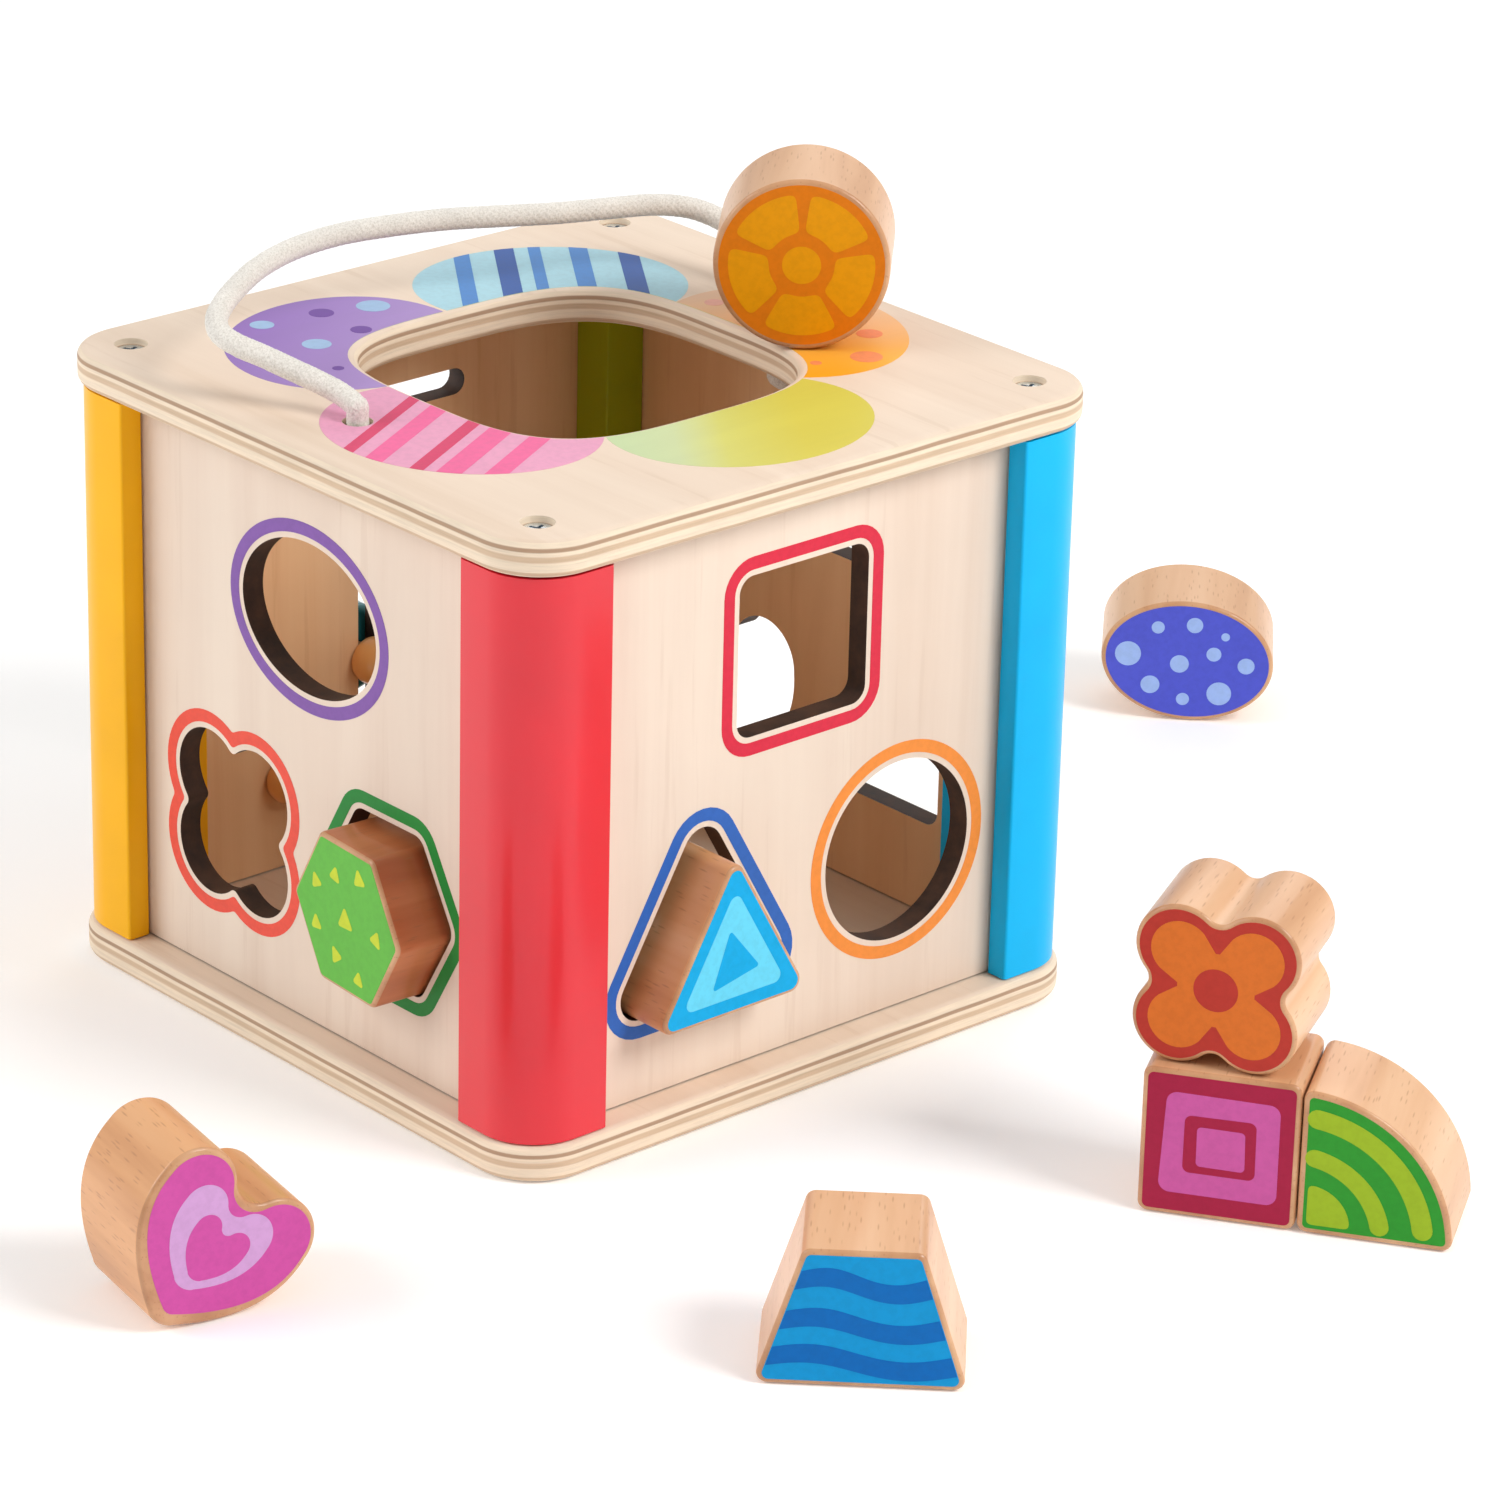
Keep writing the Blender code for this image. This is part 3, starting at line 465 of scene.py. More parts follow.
def rounded(corners, radius, steps=8):
    """A convex polygon, counter-clockwise, with every corner an arc."""
    points = []
    count = len(corners)
    for index in range(count):
        corner = Vector(corners[index])
        before = (Vector(corners[index - 1]) - corner).normalized()
        after = (Vector(corners[(index + 1) % count]) - corner).normalized()
        half = before.angle(after) / 2
        centre = corner + (before + after).normalized() * radius / math.sin(half)
        first = corner + before * radius / math.tan(half) - centre
        last = corner + after * radius / math.tan(half) - centre
        start = math.degrees(math.atan2(first.y, first.x))
        end = math.degrees(math.atan2(last.y, last.x))
        if end < start:
            end += 360
        points += arc(centre, radius, start, end, steps)
    return points


def box_corners(half_x, half_y):
    return [(-half_x, -half_y), (half_x, -half_y), (half_x, half_y), (-half_x, half_y)]


def moved(points, x, y):
    return [(px + x, py + y) for px, py in points]


def rotated(points, degrees):
    angle = math.radians(degrees)
    cos = math.cos(angle)
    sin = math.sin(angle)
    return [(x * cos - y * sin, x * sin + y * cos) for x, y in points]


def superellipse(half, power, steps):
    points = []
    for index in range(steps):
        angle = 2 * math.pi * index / steps
        cos = math.cos(angle)
        sin = math.sin(angle)
        reach = (abs(cos) ** power + abs(sin) ** power) ** (-1 / power)
        points.append((half * reach * cos, half * reach * sin))
    return points


# ----------------------------------------- block outlines, grown or shrunk

def circle_outline(grow=0.0):
    return disc((0, 0), CIRCLE_RADIUS + grow, 96)


def ellipse_outline(grow=0.0):
    unit = disc((0, 0), 1.0, 96)
    wide, tall = (radius + grow for radius in ELLIPSE_RADII)
    return [(x * wide, y * tall) for x, y in unit]


def square_outline(grow=0.0):
    half = SQUARE_HALF + grow
    return rounded(box_corners(half, half), BLOCK_CORNER + max(grow, -MOST_SHRINK))


def hexagon_outline(grow=0.0):
    reach = (HEXAGON_APOTHEM + grow) / math.cos(math.radians(30))
    corners = arc((0, 0), reach, 0, 360, 6)[:-1]
    return rounded(corners, BLOCK_CORNER + max(grow, -MOST_SHRINK), 6)


def triangle_outline(grow=0.0, corner=None):
    reach = 2 * (TRIANGLE_INRADIUS + grow)
    corners = arc((0, 0), reach, -150, 210, 3)[:-1]
    return rounded(corners, corner or TRIANGLE_CORNER + max(grow, -MOST_SHRINK), 10)


def quarter_outline(grow=0.0):
    """A quarter disc with its square corner at the origin, lower left."""
    corner = max(BLOCK_CORNER + grow, 0.9 * MM)
    reach = QUARTER_RADIUS + grow
    inner = reach - corner
    middle = corner - grow
    along = math.sqrt(inner ** 2 - middle ** 2)
    tip = math.degrees(math.atan2(middle, along))
    points = arc((middle, middle), corner, 180, 270, 8)
    points += arc((along, middle), corner, -90, tip, 8)
    points += arc((0, 0), reach, tip, 90 - tip, 40)[1:-1]
    points += arc((middle, along), corner, 90 - tip, 180, 8)
    return points


def trapezoid_outline(grow=0.0):
    lean = (TRAPEZOID_BASE - TRAPEZOID_TOP) / 2
    slope = math.hypot(lean, TRAPEZOID_HEIGHT) / TRAPEZOID_HEIGHT
    low = TRAPEZOID_BASE / 2 + grow * slope + grow * lean / TRAPEZOID_HEIGHT
    high = TRAPEZOID_TOP / 2 + grow * slope - grow * lean / TRAPEZOID_HEIGHT
    half = TRAPEZOID_HEIGHT / 2 + grow
    corners = [(-low, -half), (low, -half), (high, half), (-high, half)]
    return rounded(corners, BLOCK_CORNER + max(grow, -MOST_SHRINK))


def flower_outline(grow=0.0):
    lobe = FLOWER_LOBE + grow
    waist = max(FLOWER_WAIST - grow, 1.2 * MM)
    offset = FLOWER_OFFSET
    rise = math.sqrt((lobe + waist) ** 2 - offset ** 2)
    lean = math.degrees(math.atan2(rise, offset))
    points = []
    for quadrant in range(4):
        side = arc((offset, offset), lobe, lean - 90, 180 - lean, 24)
        hollow = arc((0, offset + rise), waist, -lean, lean - 180, 8)[1:-1]
        points += rotated(side + hollow, 90 * quadrant)
    return points


def heart_outline(grow=0.0):
    notch = max(HEART_NOTCH - grow, 0.5 * MM)
    depth = HEART_DEPTH + grow * 1.25
    return heart_shape(HEART_LOBE + grow, HEART_LOBE_OFFSET, notch, depth, HEART_TIP + grow)


def heart_shape(lobe, offset, notch, depth, radius):
    """A heart with its origin midway between its two lobes' centres."""
    edge = offset + lobe
    shoulder = (edge * 1.077, -depth * 0.574)
    slope = math.atan2(shoulder[1] + depth, shoulder[0])
    middle = (0.0, radius / math.cos(slope) - depth)
    right = arc(middle, radius, -90, math.degrees(slope) - 90, 10)[1:]
    first = 0.6 * right[-1][0] / shoulder[0]
    for index in range(24):
        t = first + (1 - first) * index / 23
        x = 2 * (1 - t) * t * shoulder[0] + t * t * edge
        y = 2 * (1 - t) * t * shoulder[1] - (1 - t) ** 2 * depth
        right.append((x, y))
    rise = math.sqrt((lobe + notch) ** 2 - offset ** 2)
    lean = math.degrees(math.atan2(rise, offset))
    right += arc((offset, 0), lobe, 0, 180 - lean, 36)[1:]
    right += arc((0, rise), notch, -lean, -90, 6)[1:-1]
    left = [(-x, y) for x, y in reversed(right)]
    return [(0.0, middle[1] - radius)] + right + [(0.0, rise - notch)] + left


# ---------------------------------------------------------- making solids

def add_object(name, data):
    item = bpy.data.objects.new(name, data)
    bpy.context.scene.collection.objects.link(item)
    return item


def plate(name, outlines, thickness, edge=0.0, rings=3):
    """A flat solid on XY, centred on it. Later outlines are holes."""
    shape = bpy.data.curves.new(name, "CURVE")
    shape.dimensions = "2D"
    shape.fill_mode = "BOTH"
    shape.extrude = thickness / 2 - edge
    shape.bevel_depth = edge
    shape.bevel_resolution = rings
    shape.offset = -edge
    shape.resolution_u = 1
    for index, outline in enumerate(outlines):
        order = outline if index == 0 else list(reversed(outline))
        spline = shape.splines.new("POLY")
        spline.points.add(len(order) - 1)
        for point, place in zip(spline.points, order):
            point.co = (place[0], place[1], 0, 1)
        spline.use_cyclic_u = True
    guide = add_object(name + "_outline", shape)
    graph = bpy.context.evaluated_depsgraph_get()
    mesh = bpy.data.meshes.new_from_object(guide.evaluated_get(graph))
    bpy.data.objects.remove(guide)
    work = bmesh.new()
    work.from_mesh(mesh)
    bmesh.ops.remove_doubles(work, verts=work.verts, dist=1e-6)
    bmesh.ops.recalc_face_normals(work, faces=work.faces)
    work.to_mesh(mesh)
    work.free()
    mesh.name = name
    return add_object(name, mesh)


def cut(item, cutter):
    """Take the cutter's shape out of the item's mesh, for good."""
    change = item.modifiers.new("Cut", "BOOLEAN")
    change.operation = "DIFFERENCE"
    change.solver = "EXACT"
    change.object = cutter
    settle(item)
    bpy.data.objects.remove(cutter)


def settle(item):
    """Turn the item's modifiers into plain mesh."""
    graph = bpy.context.evaluated_depsgraph_get()
    mesh = bpy.data.meshes.new_from_object(item.evaluated_get(graph))
    item.modifiers.clear()
    item.data = mesh


def turned(name, profile, steps=48):
    """A closed solid turned about Z, from (radius, height) points."""
    points = []
    faces = []
    rings = []
    for radius, height in profile:
        if radius < 1e-9:
            rings.append([len(points)])
            points.append((0, 0, height))
        else:
            ring = []
            for index in range(steps):
                angle = 2 * math.pi * index / steps
                ring.append(len(points))
                points.append((radius * math.cos(angle), radius * math.sin(angle), height))
            rings.append(ring)
    for upper, lower in zip(rings, rings[1:]):
        for index in range(steps):
            after = (index + 1) % steps
            if len(upper) == 1 and len(lower) > 1:
                faces.append((upper[0], lower[index], lower[after]))
            elif len(lower) == 1 and len(upper) > 1:
                faces.append((upper[after], upper[index], lower[0]))
            elif len(upper) > 1:
                faces.append((upper[index], lower[index], lower[after], upper[after]))
    mesh = bpy.data.meshes.new(name)
    mesh.from_pydata(points, [], faces)
    return add_object(name, mesh)


def rod(radius, reach, steps=40):
    """A plain upright cylinder for cutting, reach long each way."""
    profile = [(0, reach), (radius, reach), (radius, -reach), (0, -reach)]
    return turned("cutter", profile, steps)


def join(items, name):
    """Several meshes as one object, keeping each one's materials."""
    mesh = bpy.data.meshes.new(name)
    work = bmesh.new()
    slots = []
    for item in items:
        start = len(work.faces)
        copy = item.data.copy()
        copy.transform(item.matrix_world)
        work.from_mesh(copy)
        work.faces.ensure_lookup_table()
        places = []
        for material in item.data.materials:
            if material not in slots:
                slots.append(material)
            places.append(slots.index(material))
        for face in work.faces[start:]:
            face.material_index = places[face.material_index] if places else 0
        bpy.data.meshes.remove(copy)
    work.to_mesh(mesh)
    work.free()
    for material in slots:
        mesh.materials.append(material)
    for item in items:
        bpy.data.objects.remove(item)
    return add_object(name, mesh)


def smooth(item, angle=32):
    mesh = item.data
    for face in mesh.polygons:
        face.use_smooth = True
    mesh.set_sharp_from_angle(angle=math.radians(angle))
    keep = item.modifiers.new("Weighted normals", "WEIGHTED_NORMAL")
    keep.keep_sharp = True
    return item


def dress(item, *materials):
    for material in materials:
        item.data.materials.append(material)
    return item


def show(item, body, slot, *nodes):
    """Hand a finished piece over: what it rides on and stands for."""
    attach(item, body)
    if nodes:
        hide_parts(*nodes)
    return item


def decal(outline, height, material):
    """One printed patch, a very thin plate just above a face."""
    item = plate("print", [outline], PRINT_THICKNESS)
    item.location = (0, 0, height)
    bpy.context.view_layer.update()
    return dress(item, material)


def stand(place, facing, tilt=0.0):
    """The placing of a plate stood on edge and looking towards facing."""
    turn = Matrix.Rotation(math.radians(facing), 4, "Z")
    raise_up = Matrix.Rotation(math.radians(90), 4, "X")
    in_face = Matrix.Rotation(math.radians(tilt), 4, "Z")
    return Matrix.Translation(place) @ turn @ raise_up @ in_face


def sideways(facing):
    angle = math.radians(facing)
    return Vector((math.cos(angle), math.sin(angle), 0))


def backwards(facing):
    angle = math.radians(facing)
    return Vector((-math.sin(angle), math.cos(angle), 0))


# --------------------------------------------------------- the materials

CREAM = colour(240, 221, 196)
TAN = colour(214, 186, 156)
BROWN = colour(180, 148, 120)
EDGE_LAYERS = [
    (0.0, CREAM), (0.5, CREAM), (0.7, TAN), (1.3, TAN), (1.5, CREAM), (3.2, CREAM),
    (3.5, TAN), (4.4, TAN), (4.7, CREAM), (5.3, CREAM), (5.5, BROWN), (6.1, BROWN),
    (6.3, CREAM), (7.7, CREAM),
]
birch_top = birch_material(
    "birch_top", (0.06, 1, 1), colour(238, 219, 199), colour(232, 211, 190),
    colour(225, 202, 179), colour(214, 189, 164))
birch_upright = birch_material(
    "birch_upright", (1, 1, 0.05), colour(234, 217, 200), colour(229, 210, 193),
    colour(223, 202, 184), colour(214, 191, 172))
# Panel inner faces: a darker, warmer birch that paints in the dim, warm shade inside the closed
# box; the wood there is the same birch as outside.
birch_inside_painted_shade = birch_material(
    "birch_inside_painted_shade", (1, 1, 0.05), colour(246, 206, 162), colour(240, 196, 150),
    colour(232, 184, 138), colour(218, 166, 120))
top_edge = ply_edge_material("ply_edge_top", POST_TOP, EDGE_LAYERS)
base_edge = ply_edge_material("ply_edge_base", 0.0, EDGE_LAYERS)
burnt = burnt_material()
beech = beech_material(
    "beech_light", colour(232, 190, 152), colour(222, 174, 132), colour(206, 154, 112))
beech_amber = beech_material(
    "beech_amber", colour(232, 180, 132), colour(222, 162, 110), colour(204, 142, 90))
# The hexagon block's beech, darker and redder: painted shade for the shadow of the red post and
# the red light it throws onto the block's sides.
beech_russet_painted_shade = beech_material(
    "beech_russet_painted_shade", colour(206, 130, 82), colour(188, 108, 62), colour(164, 88, 48))
beech_rim = beech_material(
    "beech_rim", colour(214, 166, 124), colour(198, 146, 104), colour(180, 126, 86))
beech_end = end_grain_material(
    "beech_end", colour(226, 184, 144), colour(219, 174, 132), colour(210, 162, 120))
varnished = lacquer_material("varnished_orange", colour(250, 190, 120), 0.25, 0.3, 0.4)
paints = {
    "yellow": lacquer_material("paint_yellow", colour(255, 186, 0), 0.32, 0.08, 0.2),
    "red": lacquer_material("paint_red", colour(226, 22, 42), 0.28, 0.35, 0.45),
    "blue": lacquer_material("paint_blue", colour(0, 186, 248), 0.32, 0.06, 0.15),
    "green": lacquer_material("paint_green", colour(160, 176, 18), 0.32, 0.1, 0.2),
    "teal": lacquer_material("paint_teal", colour(38, 128, 140), 0.3, 0.2, 0.4),
}
zinc = zinc_material()
cotton = cotton_material()


# ------------------------------------------------------------- the boards

def board_outline():
    return rounded(box_corners(BOARD_HALF, BOARD_HALF), BOARD_CORNER, 16)


def opening_outline(grow=0.0):
    return moved(superellipse(OPENING_HALF + grow, OPENING_POWER, 144), *OPENING_CENTRE)


def screw_places():
    return [(x * SCREW_AXIS, y * SCREW_AXIS) for x in (-1, 1) for y in (-1, 1)]


def screw_hole(depth, wide, narrow):
    floor = -SCREW_SUNK
    cone = floor - SCREW_HEAD_HEIGHT - GAP
    return [(0, 1 * MM), (wide, 1 * MM), (wide, floor), (narrow, cone),
            (narrow, -depth), (0, -depth)]


def make_board(name, thickness, bottom, upside_down, edge_material, opening):
    outlines = [board_outline()] + ([opening_outline()] if opening else [])
    board = plate(name, outlines, thickness, BOARD_EDGE, 4)
    profile = screw_hole(thickness + 1 * MM, SCREW_HEAD + GAP, SCREW_SHANK + GAP)
    for x, y in screw_places():
        drill = turned("drill", profile, 40)
        drill.location = (x, y, thickness / 2)
        if upside_down:
            drill.rotation_euler = (math.pi, 0, 0)
            drill.location.z = -thickness / 2
        cut(board, drill)
    if opening:
        for side in (-1, 1):
            drill = rod(ROPE_HOLE_RADIUS, thickness)
            drill.location = (0, side * ROPE_HOLE_Y, 0)
            cut(board, drill)
    board.data.transform(Matrix.Translation((0, 0, bottom + thickness / 2)))
    dress(board, birch_top, edge_material)
    for face in board.data.polygons:
        face.material_index = 0 if abs(face.normal.z) > LEVEL_FACE else 1
    return board


def petal(angle, reach):
    """One of the five big printed ovals round the opening."""
    across, along = PETAL_RADII
    points = [(reach + x * across, y * along) for x, y in disc((0, 0), 1.0, 72)]
    return moved(rotated(points, angle), *OPENING_CENTRE)


def stripe(direction, low, high):
    """A long band across a petal; low and high are offsets in millimetres."""
    length = 120 * MM
    band = [(low * MM, -length), (high * MM, -length), (high * MM, length), (low * MM, length)]
    return rotated(band, direction)


def intersect(first, second):
    """Convex clip of one outline by another, both counter-clockwise."""
    points = list(first)
    count = len(second)
    for index in range(count):
        a = second[index]
        b = second[(index + 1) % count]
        kept = []
        for place in range(len(points)):
            p = points[place]
            q = points[(place + 1) % len(points)]
            side_p = (b[0] - a[0]) * (p[1] - a[1]) - (b[1] - a[1]) * (p[0] - a[0])
            side_q = (b[0] - a[0]) * (q[1] - a[1]) - (b[1] - a[1]) * (q[0] - a[0])
            if side_p >= 0:
                kept.append(p)
            if (side_p > 0 > side_q) or (side_p < 0 < side_q):
                share = side_p / (side_p - side_q)
                kept.append((p[0] + (q[0] - p[0]) * share, p[1] + (q[1] - p[1]) * share))
        points = kept
        if len(points) < 3:
            return []
    return points


def shade(red, green, blue, name):
    return print_material("print_" + name, colour(red, green, blue))


dots = {
    "coral_dot": shade(246, 148, 96, "coral_dot"),
    "pink_dot": shade(240, 178, 160, "pink_dot"),
    "dusk": shade(62, 98, 168, "dusk"),
    "denim": shade(84, 140, 206, "denim"),
    "ice": shade(160, 190, 222, "ice"),
    "plum": shade(116, 78, 158, "plum"),
    "rose": shade(216, 66, 108, "rose"),
    "candy": shade(240, 106, 158, "candy"),
}


def petal_patches():
    """Every printed patch of the top board as (outline, level, material)."""
    patches = []
    green = petal(2.7, 46 * MM)
    patches.append((green, 0, graded_print(
        "petal_green",
        [(0.0, colour(188, 212, 164)), (0.45, colour(202, 214, 160)),
         (0.66, colour(213, 212, 112)), (1.0, colour(217, 207, 88))],
        (0.58, 0.82), -6 * MM, 46 * MM)))

    orange = petal(74.7, 46 * MM)
    patches.append((orange, 0, graded_print(
        "petal_orange",
        [(0.0, colour(234, 192, 156)), (0.35, colour(246, 190, 124)),
         (0.62, colour(250, 180, 64)), (1.0, colour(252, 168, 22))],
        (0.83, -0.56), -38 * MM, 56 * MM)))
    for x, y, radius, tone in ((23, 57.5, 2.7, "a"), (33, 47.5, 3.3, "a"),
                               (29.5, 37, 1.2, "a"), (-11, 45.5, 2.0, "b")):
        name = "coral_dot" if tone == "a" else "pink_dot"
        patches.append((disc((x * MM, y * MM), radius * MM), 1, dots[name]))

    blue = petal(146.7, 47 * MM)
    patches.append((blue, 0, shade(174, 216, 228, "sky")))
    for low, high, tone in ((13.7, 18.0, "dusk"), (3.6, 7.5, "denim"), (-5.0, -2.4, "denim"),
                            (-12.2, -8.0, "dusk"), (-20.9, -17.5, "denim")):
        band = intersect(blue, stripe(54.5, low, high))
        patches.append((band, 1, dots[tone]))

    purple = petal(218.7, 47 * MM)
    patches.append((purple, 0, graded_print(
        "petal_purple", [(0.0, colour(146, 110, 184)), (1.0, colour(176, 148, 204))],
        (0.78, 0.62), -70 * MM, 42 * MM)))
    for x, y, radius, tone in ((-52, -11, 3.5, "ice"), (-40.5, -34.5, 3.0, "ice"),
                               (-56.5, -36, 2.5, "ice"), (-55, -22, 2.6, "plum"),
                               (-42, -22, 2.2, "plum"), (-26.5, -40, 1.2, "plum")):
        patches.append((disc((x * MM, y * MM), radius * MM), 1, dots[tone]))

    pink = petal(290.7, 46 * MM)
    patches.append((pink, 0, shade(232, 162, 192, "blush")))
    for low, high, tone in ((-22.8, -20.2, "rose"), (-17, -13, "candy"), (-7, -4.1, "rose"),
                            (-1.6, 3.3, "candy"), (7.3, 11.5, "candy")):
        patches.append((intersect(pink, stripe(28.1, low, high)), 1, dots[tone]))
    return patches


def make_top_board():
    board = make_board("Top_board", TOP_THICKNESS, POST_TOP, False, top_edge, True)
    surface = TOP_SURFACE
    pieces = []
    for number, (outline, level, material) in enumerate(petal_patches()):
        if len(outline) < 3:
            continue
        pieces.append(decal(outline, surface + (level * 1.2 + PRINT_FIRST) * PRINT_LIFT, material))
        pieces[-1].location.z += 0.0006 * MM * number
    prints = join(pieces, "Top_print")
    depth = 3 * MM
    cutter = plate("cutter", [opening_outline(1.8 * MM)], 2 * depth)
    cutter.location = (0, 0, surface)
    trim(prints, [cutter])
    trims = []
    for side in (-1, 1):
        trims.append(rod(ROPE_HOLE_RADIUS + ROPE_HOLE_EASE, depth))
        trims[-1].location = (0, side * ROPE_HOLE_Y, surface)
    for x, y in screw_places():
        trims.append(rod(SCREW_HEAD + GAP, depth))
        trims[-1].location = (x, y, surface)
    trim(prints, trims)
    show(smooth(board), "cube", "birch", "top_board")
    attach(smooth(prints), "cube")


def trim(prints, cutters):
    """Cut printed patches where the board has a hole."""
    bpy.context.view_layer.update()
    for cutter in cutters:
        change = prints.modifiers.new("Trim", "BOOLEAN")
        change.operation = "DIFFERENCE"
        change.solver = "EXACT"
        change.use_self = True
        change.object = cutter
        bpy.context.view_layer.update()
        settle(prints)
        bpy.data.objects.remove(cutter)


def make_base_board():
    board = make_board("Base_board", BASE_THICKNESS, 0.0, True, base_edge, False)
    show(smooth(board), "cube", "birch", "base_board")


# ------------------------------------------------------------- the screws

def make_screw(node, place, upside_down):
    """A countersunk cross-head screw with a thread on its shank."""
    head = [(0, 0), (2.5 * MM, 0), (2.9 * MM, -0.05 * MM), (3.06 * MM, -0.16 * MM),
            (SCREW_HEAD, -0.3 * MM), (SCREW_SHANK, -SCREW_HEAD_HEIGHT)]
    thread = []
    depth = -SCREW_HEAD_HEIGHT - 1.0 * MM
    while depth > -SCREW_LENGTH + 3.2 * MM:
        thread += [(THREAD_ROOT, depth), (THREAD_ROOT, depth - 0.5 * MM),
                   (SCREW_SHANK, depth - 0.85 * MM), (THREAD_ROOT, depth - 1.2 * MM)]
        depth -= THREAD_PITCH
    tip = [(1.1 * MM, depth), (0, -SCREW_LENGTH + 0.2 * MM)]
    screw = turned("Screw_" + node, head + thread + tip, 32)
    for turn in (20, 110):
        arm = rounded(box_corners(*RECESS_HALF), 0.2 * MM, 3)
        slot = plate("recess", [arm], 2.4 * MM)
        slot.rotation_euler = (0, 0, math.radians(turn))
        slot.location = (0, 0, -0.3 * MM)
        bpy.context.view_layer.update()
        cut(screw, slot)
    dress(screw, zinc)
    smooth(screw, 40)
    screw.location = place
    if upside_down:
        screw.rotation_euler = (math.pi, 0, 0)
    show(screw, "cube", "zinc", node)


def make_screws():
    for name, side_x, side_y in (("front_left", -1, -1), ("front_right", 1, -1),
                                 ("back_right", 1, 1), ("back_left", -1, 1)):
        x = side_x * SCREW_AXIS
        y = side_y * SCREW_AXIS
        make_screw("top_screw_" + name, (x, y, TOP_SURFACE - SCREW_SUNK), False)
        make_screw("base_screw_" + name, (x, y, SCREW_SUNK), True)


# -------------------------------------------------------------- the posts

def post_outline():
    inner = POST_INNER
    outer = POST_FACE
    near = PANEL_BACK - GAP
    far = PANEL_FACE + GAP
    deep = inner + GROOVE_DEPTH + GAP
    middle = outer - POST_CORNER
    ease = 0.6 * MM
    points = [(inner + ease, inner), (near, inner), (near, deep), (far, deep), (far, inner + ease)]
    points += [(far + ease, inner), (outer - ease, inner), (outer, inner + ease)]
    points += arc((middle, middle), POST_CORNER, 0, 90, 28)
    points += [(inner + ease, outer), (inner, outer - ease), (inner, far + ease)]
    points += [(inner + ease, far), (deep, far), (deep, near), (inner, near)]
    points.append((inner, inner + ease))
    return points


def make_post(name, quarter_turns):
    height = POST_HEIGHT - 2 * GAP
    outline = rotated(post_outline(), 90 * quarter_turns)
    post = plate("Post_" + name, [outline], height)
    post.data.transform(Matrix.Translation((0, 0, (POST_BOTTOM + POST_TOP) / 2)))
    axis = rotated([(SCREW_AXIS, SCREW_AXIS)], 90 * quarter_turns)[0]
    for z in (POST_TOP, POST_BOTTOM):
        drill = rod(SCREW_SHANK + GAP, 20 * MM, 24)
        drill.location = (axis[0], axis[1], z)
        bpy.context.view_layer.update()
        cut(post, drill)
    dress(post, paints[name])
    show(smooth(post, 50), "cube", name, "post_" + name)


# ------------------------------------------------------------- the panels

def track_outline():
    half = SLOT_WIDTH / 2
    span = SLOT_HALF_SPAN
    low = SLOT_BOTTOM_Z
    high = SLOT_TOP_Z
    points = arc((span, low), half, -90, 90, 12)
    points += [(half, low + half), (half, high - half)]
    points += arc((span, high), half, -90, 90, 12)
    points += arc((-span, high), half, 90, 270, 12)
    points += [(-half, high - half), (-half, low + half)]
    points += arc((-span, low), half, 90, 270, 12)
    return moved(points, -SLOT_MIDDLE_Y, 0)


def ring_print(outline, x, y, material, height):
    """A printed band round a hole, as a thin plate with the middle open."""
    inside, outside = (moved(outline(grow), x, y) for grow in RING_BAND)
    item = plate("print", [outside, inside], PRINT_THICKNESS)
    item.location = (0, 0, height)
    bpy.context.view_layer.update()
    return dress(item, material)


def make_panel(node, facing, holes, rings):
    """holes are outlines in the panel's own plane, rings their prints."""
    half = POST_INNER + GROOVE_DEPTH
    low = POST_BOTTOM + GAP
    high = POST_TOP - GAP
    sheet = [(-half, low), (half, low), (half, high), (-half, high)]
    panel = plate("Panel", [sheet] + holes, PANEL_THICKNESS)
    # Slot 2, the panel's inner face, takes the birch with painted shade: darker and warmer for the
    # dim light inside the box.
    dress(panel, birch_upright, burnt, birch_inside_painted_shade)
    for face in panel.data.polygons:
        if face.normal.z > 0.9:
            face.material_index = 0
        elif face.normal.z < -0.9:
            face.material_index = 2
        else:
            face.material_index = 1
    pieces = [panel]
    top = PANEL_THICKNESS / 2 + PRINT_LIFT
    for outline, x, y, material in rings:
        pieces.append(ring_print(outline, x, y, material, top))
    whole = join(pieces, "Panel_" + node.split("_")[1])
    middle = -backwards(facing) * (PANEL_FACE - PANEL_THICKNESS / 2)
    whole.data.transform(stand(middle, facing))
    show(smooth(whole), "cube", "birch", node)


def triangle_hole(grow):
    extra = grow - HOLE_CLEARANCE
    corner = TRIANGLE_HOLE_CORNER + extra
    return triangle_outline(TRIANGLE_CLEARANCE + extra, corner)


